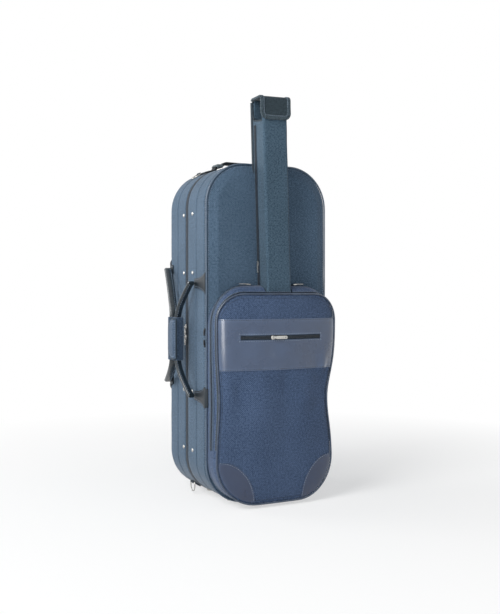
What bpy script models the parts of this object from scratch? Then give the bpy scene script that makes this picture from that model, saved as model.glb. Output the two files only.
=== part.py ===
"""Double violin case: two half shells that open like a book, with a front pocket and a bow quiver.

Metres, +X to the right seen from the front, +Y into the case, +Z up. Everything is placed about
the parting plane of the two halves (y = 0), the middle of the case's width (x = 0) and the floor
(z = 0). The last step moves the whole case so that the world origin is the middle of the bottom
of its bounding box.
"""

import math

import bmesh
import bpy
from mathutils import Matrix, Vector

# Clearances and cutting
FIT = 0.0003
RUNNING_GAP = 0.0006
WELD = 0.00001
OVERRUN = 0.010

# Facets of round shapes
CORNER_STEPS = 10
EDGE_STEPS = 5
ROUND_STEPS = 16
SMALL_ROUND_STEPS = 10
SMOOTH_ANGLE = math.radians(35)

# Case body
CASE_WIDTH = 0.320
CASE_HEIGHT = 0.800
FRONT_DEPTH = 0.118
REAR_DEPTH = 0.128
CORNER_RADIUS = 0.098
REAR_EDGE_RADIUS = 0.032
FRONT_EDGE_RADIUS = 0.004
WALL = 0.007
RIM_GAP = 0.0005

# Stud feet
FOOT_HEIGHT = 0.007
FOOT_RADIUS = 0.008
FOOT_CROWN_RADIUS = 0.005
FOOT_SPREAD = 0.078
FRONT_FOOT_Y = -0.070
REAR_FOOT_Y = 0.045

# Zipper tapes in their rebates along both rims
TAPE_WIDTH = 0.0070
TAPE_DEPTH = 0.0015
TAPE_PROUD = 0.0003
TAPE_RIM_GAP = 0.0003

# Piping round the front panel of the case
PIPING_RADIUS = 0.0020
PIPING_OFFSET = 0.0005

# Rivets and the strips that back them
RIVET_LEVELS_FROM_MIDDLE = (-0.285, -0.143, 0.143, 0.285)
FRONT_RIVET_Y = -0.036
REAR_RIVET_Y = 0.018
RIVET_SHANK_RADIUS = 0.0019
RIVET_HEAD_RADIUS = 0.0045
RIVET_HEAD_HEIGHT = 0.0022
RIVET_HEAD_SHARES = ((1.0, 0.0), (0.95, 0.45), (0.62, 0.85), (0.0, 1.0))
RIVET_STRIP_WIDTH = 0.016
RIVET_STRIP_THICKNESS = 0.0020
RIVET_STRIP_END = 0.015

# Leaf hinges on the right-hand side
HINGE_LEVELS_FROM_MIDDLE = {"upper": 0.200, "lower": -0.200}
HINGE_LENGTH = 0.066
HINGE_KNUCKLE_RADIUS = 0.0030
HINGE_BORE_RADIUS = 0.0016
HINGE_PIN_RADIUS = 0.0012
HINGE_PIN_HEAD_RADIUS = 0.0024
HINGE_PIN_HEAD_HEIGHT = 0.0012
HINGE_LEAF_WIDTH = 0.024
HINGE_LEAF_THICKNESS = 0.0016
HINGE_STAND_OFF = 0.0006

# Main zipper sliders and pulls
SLIDER_LEVELS = {"upper": 0.418, "lower": 0.394}
SLIDER_LENGTH = 0.013
SLIDER_WIDTH = 0.010
SLIDER_NECK_WIDTH = 0.0060
SLIDER_THICKNESS = 0.0018
SLIDER_STAND_OFF = 0.0012
EAR_LENGTH = 0.0044
EAR_HEIGHT = 0.0030
EAR_THICKNESS = 0.0012
PULL_TONGUE_WIDTH = 0.0036
PULL_WIDTH = 0.0072
PULL_LENGTH = 0.020
PULL_THICKNESS = 0.0014
PULL_SLOT_RADIUS = 0.0016

# Carrying handles, their anchors and the wrap that holds them together
HANDLE_MIDDLE = 0.3905
FRONT_HANDLE_SPANS = {"upper": 0.134, "lower": 0.134}
REAR_HANDLE_SPANS = {"upper": 0.170, "lower": 0.110}
FRONT_AXIS_Y = -0.060
REAR_AXIS_Y = 0.094
HANDLE_STAND_OFF = 0.0295
STRAP_LEAD = 0.0035
STRAP_WIDTH = 0.018
STRAP_THICKNESS = 0.009
STRAP_ROUNDING = 0.0035
STRAP_POINTS = 12
ANCHOR_THICKNESS = 0.003
ANCHOR_BASE = 0.050
ANCHOR_TIP = 0.022
ANCHOR_FLARE = 2.4
ANCHOR_STEPS = 6
FRONT_ANCHOR_BASE_Y = -0.1145
REAR_ANCHOR_BASE_Y = 0.1200
ANCHOR_OVERLAP = 0.008
STRAP_CURVE_SHARES = ((0.0, 1.0), (0.35, 0.75), (0.95, 0.30), (1.0, 0.0))
GRIP_LENGTH = 0.104
GRIP_WALL = 0.0036
GRIP_ROUNDING = 0.005
GRIP_MIDDLE_Y = 0.0142
FLAP_THICKNESS = 0.0020
FLAP_HEIGHT = 0.096
FLAP_OVERHANG = 0.004
FLAP_REAR_END = 0.009
FLAP_CORNER_SHARE = 0.27

# Top grab handle
GRAB_FROM_SIDE = 0.074
GRAB_PAD_LENGTH = 0.024
GRAB_RISE = 0.018
GRAB_WIDTH = 0.022
GRAB_THICKNESS = 0.0030
GRAB_Y = 0.036
GRAB_STEPS = 14

# D-rings and their tabs
RING_WIRE_RADIUS = 0.0015
RING_WIDTH = 0.028
RING_LENGTH = 0.024
RING_STEPS = 12
TAB_WIDTH = 0.018
TAB_TAIL = 0.020
TAB_WALL = 0.0016
TOP_RING_Y = 0.058
TOP_RING_ANGLE = math.radians(113)
TOP_RING_DROOP = math.radians(10)
BOTTOM_RING_Y = 0.030
BOTTOM_RING_ANGLE = math.radians(227)

# Front-edge sleeve zipper sliders
SLEEVE_SLIDER_LEVELS = {"upper": 0.414, "lower": 0.3795}
SLEEVE_SLIDER_Y = -0.1112
SLEEVE_SLIDER_WIDTH = 0.0065
SLEEVE_SLIDER_LENGTH = 0.009
SLEEVE_SLIDER_THICKNESS = 0.0026
SLEEVE_PULL_LENGTH = 0.008
SLEEVE_PULL_WIDTH = 0.0045

# Front pocket
POCKET_HALF_WIDTH = 0.156
POCKET_LOW = 0.012
POCKET_HIGH = 0.497
POCKET_TOP_RADIUS = 0.062
POCKET_LOW_RADIUS = 0.100
POCKET_DEPTH = 0.052
POCKET_LOW_CROWN = 0.006
POCKET_TOP_CROWN = 0.023
POCKET_CROWN_FROM = 0.080
POCKET_CROWN_TO = 0.250
POCKET_PUFF = 0.004
POCKET_WALL = 0.003
POCKET_BACK_HALF_WIDTH = 0.158
POCKET_BACK_HIGH = 0.520
POCKET_BACK_TOP_RADIUS = 0.100
POCKET_SWELL = 0.003
POCKET_SWELL_SHARE = 0.62
POCKET_RIGHT_WAIST = 0.027
POCKET_LEFT_WAIST = 0.006
POCKET_WAIST_LEVEL = 0.250
POCKET_WAIST_HEIGHT = 0.080
POCKET_LOW_DRAW_SHARE = 0.35
POCKET_RING_SHARES = (0.90, 0.72, 0.50, 0.26)
POCKET_CORNER_STEPS = 7
POCKET_SIDE_STEPS = 7
POCKET_END_STEPS = 5
POCKET_BASE_DEPTH = 0.022
POCKET_TRAY_HIGH = 0.122
POCKET_TRAY_DEPTH = 0.0480
POCKET_PIPING_RADIUS = 0.0022
POCKET_PIPING_OFFSET = 0.0022

# Vinyl band, corner patches and window zipper on the pocket
SKIN_GAP = 0.0005
SKIN_THICKNESS = 0.0012
SKIN_EDGE_SHARE = 0.990
BAND_LOW = 0.3225
BAND_HIGH = 0.441
WINDOW_LEFT = -0.105
WINDOW_RIGHT = 0.106
WINDOW_LEVEL = 0.398
WINDOW_HEIGHT = 0.018
PATCH_WIDTH = 0.092
PATCH_HEIGHT = 0.104
PATCH_STEPS = 10
WINDOW_SLIDER_X = -0.026
WINDOW_PULL_LENGTH = 0.034

# Pocket zipper sliders
POCKET_SLIDER_LENGTH = 0.012
POCKET_SLIDER_WIDTH = 0.009
POCKET_SLIDER_THICKNESS = 0.0028
POCKET_SLIDER_TURN = math.radians(45)
POCKET_SLIDER_ARC_SLACK = 1.05
POCKET_SLIDER_TURN_STEPS = 9
POCKET_PULL_LENGTH = 0.018
POCKET_PULL_WIDTH = 0.005
POCKET_PULL_THICKNESS = 0.0012

# Quiver tube
TUBE_LEFT = -0.032
TUBE_RIGHT = 0.032
TUBE_DEPTH = 0.0590
TUBE_SEAM_HALF_WIDTH = 0.022
TUBE_SEAM_HIGH = 0.790
TUBE_WALL = 0.0025
TUBE_ROUNDING = 0.006
TUBE_LOW = 0.215
TUBE_SIDE_HIGH = 0.909
TUBE_FRONT_HIGH = 0.942
TUBE_BACK_HIGH = 0.959
TUBE_LEAN = math.radians(1.6)
TUBE_LEAN_LEVEL = 0.520
NOTCH_GAP = 0.0025
QUIVER_FLAP_WIDTH = 0.078
QUIVER_FLAP_THICKNESS = 0.0022
QUIVER_FLAP_DROP = 0.054
QUIVER_FLAP_CORNER = 0.012
QUIVER_FLAP_STEPS = 5
QUIVER_SLIDER_LEVEL = 0.572
QUIVER_SLIDER_DEPTH = 0.016
QUIVER_SLIDER_LENGTH = 0.012
QUIVER_SLIDER_WIDTH = 0.008
QUIVER_SLIDER_THICKNESS = 0.0028
QUIVER_PULL_LENGTH = 0.016
QUIVER_PULL_WIDTH = 0.005

# Fitted violin beds
BED_THICKNESS = 0.062
RECESS_DEPTH = 0.045
VIOLIN_LOW = 0.034
VIOLIN_BODY = 0.368
VIOLIN_HALF_LOWER_BOUT = 0.112
VIOLIN_SMOOTHING = 3
# Half outline of the recess: share of the half lower bout, share of the body length.
VIOLIN_SHARES = (
    (0.00, 0.000),
    (0.55, 0.015),
    (0.90, 0.100),
    (1.00, 0.215),
    (0.94, 0.320),
    (0.84, 0.385),
    (0.63, 0.430),
    (0.57, 0.520),
    (0.62, 0.610),
    (0.75, 0.660),
    (0.83, 0.770),
    (0.76, 0.890),
    (0.50, 0.970),
    (0.29, 1.020),
    (0.25, 1.180),
    (0.25, 1.380),
    (0.31, 1.440),
    (0.31, 1.590),
    (0.20, 1.645),
    (0.00, 1.655),
)
WELL_FROM_MIDDLE = 0.046
WELL_FROM_SIDE = 0.030
WELL_LOW = 0.440
WELL_LENGTH = 0.190
WELL_DEPTH = 0.044
WELL_ROUNDING = 0.010
LID_LAP = 0.004
LID_THICKNESS = 0.0030
NECK_STRAP_LEVEL = 0.520
NECK_STRAP_WIDTH = 0.025
NECK_STRAP_HALF_LENGTH = 0.042
NECK_STRAP_THICKNESS = 0.0022
SPINNER_FROM_SIDE = 0.036
SPINNER_LEVEL = 0.238
SPINNER_POST_RADIUS = 0.0045
SPINNER_POST_HEIGHT = 0.013
SPINNER_BAR_LENGTH = 0.044
SPINNER_BAR_WIDTH = 0.012
SPINNER_BAR_THICKNESS = 0.006
BOW_GROOVE_FROM_SIDE = 0.022
BOW_GROOVE_WIDTH = 0.014
BOW_GROOVE_DEPTH = 0.010
BOW_GROOVE_LOW = 0.600
BOW_GROOVE_HIGH = 0.690

# Places worked out from the sizes
HALF_WIDTH = CASE_WIDTH / 2
CASE_LOW = FOOT_HEIGHT
CASE_HIGH = CASE_LOW + CASE_HEIGHT
CASE_MIDDLE = (CASE_LOW + CASE_HIGH) / 2
LEFT_FACE = -HALF_WIDTH
FRONT_FACE = -FRONT_DEPTH
HINGE_X = HALF_WIDTH + HINGE_STAND_OFF + HINGE_KNUCKLE_RADIUS
STRAP_AXIS_X = LEFT_FACE - FIT - ANCHOR_THICKNESS - FIT - STRAP_WIDTH / 2
STRAP_MIDDLE_X = LEFT_FACE - HANDLE_STAND_OFF
GRAB_HALF_SPAN = HALF_WIDTH - GRAB_FROM_SIDE
WELL_LEFT = WELL_FROM_MIDDLE
WELL_WIDTH = HALF_WIDTH - WELL_FROM_SIDE - WELL_FROM_MIDDLE
SPINNER_X = LEFT_FACE + SPINNER_FROM_SIDE
BOW_GROOVE_X = LEFT_FACE + BOW_GROOVE_FROM_SIDE
GRIP_HALF_THICKNESS = STRAP_THICKNESS / 2 + FIT + GRIP_WALL
GRIP_HALF_WIDTH = STRAP_WIDTH / 2 + FIT + GRIP_WALL
TUBE_BACK_FACE = FRONT_FACE - PIPING_OFFSET - PIPING_RADIUS - FIT
TUBE_FRONT_FACE = TUBE_BACK_FACE - TUBE_DEPTH

COLOURS = {
    "case_fabric": ((0.100, 0.135, 0.180, 1.0), 0.85, 0.0),
    "pocket_fabric": ((0.075, 0.105, 0.170, 1.0), 0.85, 0.0),
    "tube_fabric": ((0.055, 0.085, 0.120, 1.0), 0.85, 0.0),
    "vinyl": ((0.110, 0.145, 0.210, 1.0), 0.35, 0.0),
    "zipper_tape": ((0.035, 0.050, 0.070, 1.0), 0.80, 0.0),
    "piping": ((0.120, 0.160, 0.210, 1.0), 0.35, 0.0),
    "webbing": ((0.012, 0.015, 0.020, 1.0), 0.75, 0.0),
    "strap_leather": ((0.045, 0.058, 0.065, 1.0), 0.40, 0.0),
    "wrap_fabric": ((0.070, 0.095, 0.130, 1.0), 0.80, 0.0),
    "steel": ((0.700, 0.700, 0.690, 1.0), 0.25, 1.0),
    "dark_metal": ((0.060, 0.060, 0.065, 1.0), 0.35, 1.0),
    "bed_velvet": ((0.020, 0.030, 0.070, 1.0), 0.95, 0.0),
}

PLANES = {
    "XY": (Matrix.Identity(3), Vector((0, 0, 1))),
    "XZ": (Matrix(((1, 0, 0), (0, 0, -1), (0, 1, 0))), Vector((0, 1, 0))),
    "YZ": (Matrix(((0, 0, 1), (1, 0, 0), (0, 1, 0))), Vector((1, 0, 0))),
}

PARTS = bpy.data.collections.new("double_violin_case")
TOOLS = bpy.data.collections.new("cutters")
PLACES = {}


# Scene, materials and placing


def clear_scene():
    for obj in list(bpy.data.objects):
        bpy.data.objects.remove(obj, do_unlink=True)
    bpy.context.scene.collection.children.link(PARTS)
    bpy.context.scene.collection.children.link(TOOLS)
    TOOLS.hide_render = True


def material(name):
    """The Principled material of that name, made the first time that it is asked for."""
    found = bpy.data.materials.get(name)
    if found:
        return found
    colour, roughness, metallic = COLOURS[name]
    made = bpy.data.materials.new(name)
    made.use_nodes = True
    shader = made.node_tree.nodes["Principled BSDF"]
    shader.inputs["Base Color"].default_value = colour
    shader.inputs["Roughness"].default_value = roughness
    shader.inputs["Metallic"].default_value = metallic
    made.diffuse_color = colour
    return made


def pivot(name, place, parent=None):
    """An empty on a joint's axis. Its place is given in the frame of the untilted case."""
    empty = bpy.data.objects.new(name, None)
    PARTS.objects.link(empty)
    PLACES[name] = Vector(place)
    empty.parent = parent
    empty.location = PLACES[name] - (PLACES[parent.name] if parent else Vector())
    return empty


def attach(obj, parent):
    """Hang a mesh made in the case's frame on a pivot, so that its origin is on the pivot's axis."""
    place = PLACES[parent.name]
    obj.data.transform(Matrix.Translation(-place))
    obj.parent = parent
    obj.location = Vector()


def part(obj, name, parent, material_name):
    obj.name = name
    obj.data.name = name
    obj.data.materials.clear()
    obj.data.materials.append(material(material_name))
    obj.data.shade_smooth()
    obj.data.set_sharp_from_angle(angle=SMOOTH_ANGLE)
    PARTS.objects.link(obj)
    attach(obj, parent)
    return obj


def boolean(target, tool, operation):
    tool.name = f"{target.name}_{operation.lower()}_tool"
    TOOLS.objects.link(tool)
    attach(tool, target.parent)
    tool.hide_render = True
    tool.display_type = "WIRE"
    modifier = target.modifiers.new(tool.name, "BOOLEAN")
    modifier.operation = operation
    modifier.solver = "EXACT"
    modifier.object = tool


def combined(first, second, operation):
    """Two tools made into one shape before they are used."""
    bpy.context.scene.collection.objects.link(second)
    modifier = first.modifiers.new("combine", "BOOLEAN")
    modifier.operation = operation
    modifier.solver = "EXACT"
    modifier.object = second
    made = baked(first)
    bpy.data.objects.remove(second, do_unlink=True)
    return made


def cut(target, *tools):
    for tool in tools:
        boolean(target, tool, "DIFFERENCE")


def join(target, *tools):
    for tool in tools:
        boolean(target, tool, "UNION")


# Shapes


def mesh_object(mesh_maker):
    """An unlinked object from a bmesh, welded and with its faces pointing out."""
    bmesh.ops.remove_doubles(mesh_maker, verts=mesh_maker.verts, dist=WELD)
    bmesh.ops.recalc_face_normals(mesh_maker, faces=mesh_maker.faces)
    mesh = bpy.data.meshes.new("shape")
    mesh_maker.to_mesh(mesh)
    mesh_maker.free()
    return bpy.data.objects.new("shape", mesh)


def baked(obj):
    """The evaluated shape of an object as a plain mesh object in world space. The object is removed."""
    bpy.context.scene.collection.objects.link(obj)
    graph = bpy.context.evaluated_depsgraph_get()
    mesh = bpy.data.meshes.new_from_object(obj.evaluated_get(graph))
    mesh.transform(obj.matrix_basis)
    maker = bmesh.new()
    maker.from_mesh(mesh)
    bpy.data.meshes.remove(mesh)
    bpy.data.objects.remove(obj, do_unlink=True)
    return mesh_object(maker)


def curve_object(loops, closed=True, flat=False):
    curve = bpy.data.curves.new("outline", "CURVE")
    curve.dimensions = "2D" if flat else "3D"
    for loop in loops:
        spline = curve.splines.new("POLY")
        spline.points.add(len(loop) - 1)
        for point, place in zip(spline.points, loop):
            point.co = (*place, 1) if len(place) == 3 else (*place, 0, 1)
        spline.use_cyclic_u = closed
    return bpy.data.objects.new("outline", curve)


def prism(loops, plane, low, high):
    """Flat outlines, the later ones as holes, extruded along the plane's normal from low to high."""
    obj = curve_object(loops, flat=True)
    obj.data.fill_mode = "BOTH"
    obj.data.extrude = (high - low) / 2
    turn, normal = PLANES[plane]
    obj.matrix_basis = Matrix.Translation(normal * (high + low) / 2) @ turn.to_4x4()
    return baked(obj)


def box(low, high):
    maker = bmesh.new()
    bmesh.ops.create_cube(maker, size=1)
    size = [b - a for a, b in zip(low, high)]
    middle = [(a + b) / 2 for a, b in zip(low, high)]
    bmesh.ops.scale(maker, vec=size, verts=maker.verts)
    bmesh.ops.translate(maker, vec=middle, verts=maker.verts)
    return mesh_object(maker)


def turned(profile, axis, base, steps=ROUND_STEPS):
    """A profile of (radius, height) turned about an axis through base, with a Screw modifier."""
    maker = bmesh.new()
    verts = [maker.verts.new((radius, 0, height)) for radius, height in profile]
    for first, second in zip(verts, verts[1:]):
        maker.edges.new((first, second))
    mesh = bpy.data.meshes.new("profile")
    maker.to_mesh(mesh)
    maker.free()
    obj = bpy.data.objects.new("turned", mesh)
    screw = obj.modifiers.new("turn", "SCREW")
    screw.steps = screw.render_steps = steps
    screw.use_merge_vertices = True
    screw.merge_threshold = WELD
    obj.matrix_basis = Matrix.Translation(base) @ Vector(axis).to_track_quat("Z", "Y").to_matrix().to_4x4()
    return baked(obj)


def cylinder(radius, axis, base, length, steps=ROUND_STEPS):
    return turned(((0, 0), (radius, 0), (radius, length), (0, length)), axis, base, steps)


def wire(points, radius, closed=False, resolution=2):
    obj = curve_object([points], closed=closed)
    obj.data.bevel_depth = radius
    obj.data.bevel_resolution = resolution
    obj.data.use_fill_caps = not closed
    return baked(obj)


def strap_section():
    """The rounded cross-section of a handle strap, wide across the plane of its loop."""
    outline = rounded_outline(STRAP_WIDTH / 2, -STRAP_THICKNESS / 2, STRAP_THICKNESS / 2, STRAP_ROUNDING, 2)
    return curve_object([outline], flat=True)


def merged(objects):
    """Several meshes in one object. Its bodies stay separate until a union joins them."""
    maker = bmesh.new()
    for obj in objects:
        maker.from_mesh(obj.data)
        bpy.data.objects.remove(obj, do_unlink=True)
    return mesh_object(maker)


def rounded_outline(half_width, low, high, radius, steps=CORNER_STEPS, middle=0.0):
    """A rounded rectangle, anticlockwise from the right-hand end of its lower side."""
    corners = (
        (middle + half_width - radius, low + radius, -math.pi / 2),
        (middle + half_width - radius, high - radius, 0.0),
        (middle - half_width + radius, high - radius, math.pi / 2),
        (middle - half_width + radius, low + radius, math.pi),
    )
    return [
        (x + radius * math.cos(start + turn), z + radius * math.sin(start + turn))
        for x, z, start in corners
        for turn in (step * math.pi / 2 / steps for step in range(steps + 1))
    ]


def case_outline(inset=0.0):
    return rounded_outline(
        HALF_WIDTH - inset, CASE_LOW + inset, CASE_HIGH - inset, CORNER_RADIUS - inset
    )


def circle(x, z, radius, steps=ROUND_STEPS):
    return [
        (x + radius * math.cos(turn), z + radius * math.sin(turn))
        for turn in (step * 2 * math.pi / steps for step in range(steps))
    ]


def open_box(outline, back, rim, edge_radius, edge_steps, closed):
    """An outline at the back drawn forward to the rim, with the back edge rounded."""
    maker = bmesh.new()
    panel = maker.faces.new([maker.verts.new((x, back, z)) for x, z in outline])
    edges = list(panel.edges)
    drawn = bmesh.ops.extrude_edge_only(maker, edges=edges)["geom"]
    moved = [item for item in drawn if isinstance(item, bmesh.types.BMVert)]
    bmesh.ops.translate(maker, verts=moved, vec=(0, rim - back, 0))
    if closed:
        rim_edges = [edge for edge in maker.edges if all(vert in moved for vert in edge.verts)]
        bmesh.ops.contextual_create(maker, geom=rim_edges)
    bmesh.ops.bevel(
        maker, geom=edges, offset=edge_radius, segments=edge_steps, profile=0.5, affect="EDGES"
    )
    return mesh_object(maker)


def loft(rings, cap_last=True):
    """Skin over rings of equally many points. The last ring can be closed with a face."""
    maker = bmesh.new()
    levels = [[maker.verts.new(point) for point in ring] for ring in rings]
    for near, far in zip(levels, levels[1:]):
        for index in range(len(near)):
            following = (index + 1) % len(near)
            maker.faces.new((near[index], near[following], far[following], far[index]))
    if cap_last:
        maker.faces.new(levels[-1])
    return maker


# Case halves


def side_of(depth_sign):
    """Names and depths of one half: -1 is the front half, +1 the rear half."""
    if depth_sign < 0:
        return "front", FRONT_DEPTH, FRONT_EDGE_RADIUS, 2
    return "rear", REAR_DEPTH, REAR_EDGE_RADIUS, EDGE_STEPS


def outline_ring(outer, inner, low, high):
    """A closed ring between two outlines of equally many points, from y = low to y = high."""
    corners = ((outer, low), (outer, high), (inner, high), (inner, low), (outer, low))
    rings = [[(x, y, z) for x, z in outline] for outline, y in corners]
    return mesh_object(loft(rings, cap_last=False))


def rebate_tool(sign):
    """The rebate along the rim that takes the zipper tape."""
    reach = TAPE_RIM_GAP + TAPE_WIDTH + FIT
    low, high = sorted((-sign * OVERRUN, sign * reach))
    return outline_ring(case_outline(-OVERRUN), case_outline(TAPE_DEPTH + FIT), low, high)


def half_shell(sign, parent):
    name, depth, edge_radius, edge_steps = side_of(sign)
    shell = open_box(case_outline(), sign * depth, sign * RIM_GAP, edge_radius, edge_steps, False)
    shell = part(shell, f"{name}_shell", parent, "case_fabric")
    wall = shell.modifiers.new("wall", "SOLIDIFY")
    wall.thickness = WALL
    wall.offset = -1
    wall.use_even_offset = True
    rivet_y = FRONT_RIVET_Y if sign < 0 else REAR_RIVET_Y
    bores = [
        cylinder(
            RIVET_SHANK_RADIUS + FIT,
            (-1, 0, 0),
            (LEFT_FACE + WALL + OVERRUN, rivet_y, CASE_MIDDLE + level),
            WALL + OVERRUN + OVERRUN,
            SMALL_ROUND_STEPS,
        )
        for level in RIVET_LEVELS_FROM_MIDDLE
    ]
    cut(shell, merged([rebate_tool(sign), *bores]))
    return shell


def zipper_tape(sign, parent):
    name = side_of(sign)[0]
    near, far = sorted((sign * TAPE_RIM_GAP, sign * (TAPE_RIM_GAP + TAPE_WIDTH)))
    tape = outline_ring(case_outline(-TAPE_PROUD), case_outline(TAPE_DEPTH), near, far)
    return part(tape, f"{name}_zipper_tape", parent, "zipper_tape")


def rivet_strip(sign, parent):
    """Four dome rivets through the handle side, on the strip that backs them inside."""
    name = side_of(sign)[0]
    y = FRONT_RIVET_Y if sign < 0 else REAR_RIVET_Y
    strip_outer = LEFT_FACE + WALL + FIT
    strip_inner = strip_outer + RIVET_STRIP_THICKNESS
    low = CASE_MIDDLE + min(RIVET_LEVELS_FROM_MIDDLE) - RIVET_STRIP_END
    high = CASE_MIDDLE + max(RIVET_LEVELS_FROM_MIDDLE) + RIVET_STRIP_END
    strip = box((strip_outer, y - RIVET_STRIP_WIDTH / 2, low), (strip_inner, y + RIVET_STRIP_WIDTH / 2, high))
    strip = part(strip, f"{name}_rivet_strip", parent, "steel")
    seat = FIT + WALL + FIT + RIVET_STRIP_THICKNESS / 2
    head = [
        (RIVET_HEAD_RADIUS * radius, seat + RIVET_HEAD_HEIGHT * height)
        for radius, height in RIVET_HEAD_SHARES
    ]
    profile = [(0, 0), (RIVET_SHANK_RADIUS, 0), (RIVET_SHANK_RADIUS, seat)] + head
    middle = (strip_outer + strip_inner) / 2
    rivets = [
        turned(profile, (-1, 0, 0), (middle, y, CASE_MIDDLE + level), SMALL_ROUND_STEPS)
        for level in RIVET_LEVELS_FROM_MIDDLE
    ]
    join(strip, merged(rivets))
    return strip


def foot(name, x, y, parent):
    """A turned stud whose top follows the bottom of the case."""
    top = outline_bottom(abs(x) + FOOT_RADIUS) + FIT
    profile = (
        (0, 0),
        (FOOT_CROWN_RADIUS, 0),
        (FOOT_RADIUS, (FOOT_RADIUS - FOOT_CROWN_RADIUS)),
        (FOOT_RADIUS, top),
        (0, top),
    )
    stud = part(turned(profile, (0, 0, 1), (x, y, 0)), name, parent, "steel")
    reach = FOOT_RADIUS + OVERRUN
    cut(stud, prism([case_outline(-FIT)], "XZ", y - reach, y + reach))


def outline_bottom(x):
    """Height of the underside of the case at a distance x from its middle."""
    past = max(0.0, abs(x) - (HALF_WIDTH - CORNER_RADIUS))
    return CASE_LOW + CORNER_RADIUS - math.sqrt(CORNER_RADIUS**2 - past**2)


def outline_top(x):
    return CASE_HIGH + CASE_LOW - outline_bottom(x)


def case_piping(parent):
    path = [(x, FRONT_FACE - PIPING_OFFSET, z) for x, z in case_outline(-PIPING_OFFSET)]
    return part(wire(path, PIPING_RADIUS, closed=True, resolution=1), "front_piping", parent, "piping")


# Hinges


def knuckle_outline(sign):
    """The rolled end of a leaf in plan, with its bore, for the leaf on the +Y or -Y side."""
    inner = HALF_WIDTH + HINGE_STAND_OFF
    outer = inner + HINGE_LEAF_THICKNESS
    meets = math.asin((outer - HINGE_X) / HINGE_KNUCKLE_RADIUS)
    turn = math.pi + meets + math.pi / 2
    roll = [
        -math.pi / 2 - step * turn / ROUND_STEPS
        for step in range(ROUND_STEPS + 1)
    ]
    outline = [
        (HINGE_X + HINGE_KNUCKLE_RADIUS * math.sin(angle), sign * HINGE_KNUCKLE_RADIUS * math.cos(angle))
        for angle in roll
    ]
    root = sign * (HINGE_KNUCKLE_RADIUS + RUNNING_GAP + HINGE_LEAF_THICKNESS)
    outline += [(outer, root), (inner, root)]
    return [outline, circle(HINGE_X, 0.0, HINGE_BORE_RADIUS, SMALL_ROUND_STEPS)]


def hinge_leaf(name, level, sign, spans, parent):
    """A leaf plate with knuckles over the given shares of its length."""
    low = CASE_MIDDLE + level - HINGE_LENGTH / 2
    inner = HALF_WIDTH + HINGE_STAND_OFF
    near = sign * (HINGE_KNUCKLE_RADIUS + RUNNING_GAP)
    far = sign * HINGE_LEAF_WIDTH
    start, end = sorted((near, far))
    leaf = box((inner, start, low), (inner + HINGE_LEAF_THICKNESS, end, low + HINGE_LENGTH))
    leaf = part(leaf, name, parent, "steel")
    knuckles = [
        prism(
            knuckle_outline(sign),
            "XY",
            low + first * HINGE_LENGTH + (RUNNING_GAP / 2 if first > 0 else 0),
            low + last * HINGE_LENGTH - (RUNNING_GAP / 2 if last < 1 else 0),
        )
        for first, last in spans
    ]
    join(leaf, merged(knuckles))
    return leaf


def hinge_pin(name, level, parent):
    half = HINGE_LENGTH / 2 + FIT
    head = half + HINGE_PIN_HEAD_HEIGHT
    profile = (
        (0, -head),
        (HINGE_PIN_HEAD_RADIUS, -head),
        (HINGE_PIN_HEAD_RADIUS, -half),
        (HINGE_PIN_RADIUS, -half),
        (HINGE_PIN_RADIUS, half),
        (HINGE_PIN_HEAD_RADIUS, half),
        (HINGE_PIN_HEAD_RADIUS, head),
        (0, head),
    )
    base = (HINGE_X, 0, CASE_MIDDLE + level)
    return part(turned(profile, (0, 0, 1), base, SMALL_ROUND_STEPS), name, parent, "steel")


def hinges(rear, front):
    for label, level in HINGE_LEVELS_FROM_MIDDLE.items():
        hinge_leaf(f"hinge_{label}_rear_leaf", level, 1, ((0, 1 / 3), (2 / 3, 1)), rear)
        hinge_leaf(f"hinge_{label}_front_leaf", level, -1, ((1 / 3, 2 / 3),), front)
        hinge_pin(f"hinge_{label}_pin", level, rear)


# Zipper sliders on flat straight runs


def slider_outline(length, width, neck, middle_y, middle_z):
    """A slider seen from above: wide at its nose, drawn in at its tail."""
    return [
        (middle_y - width / 2, middle_z + length / 2 - width / 4),
        (middle_y - width / 4, middle_z + length / 2),
        (middle_y + width / 4, middle_z + length / 2),
        (middle_y + width / 2, middle_z + length / 2 - width / 4),
        (middle_y + neck / 2, middle_z - length / 2),
        (middle_y - neck / 2, middle_z - length / 2),
    ]


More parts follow.
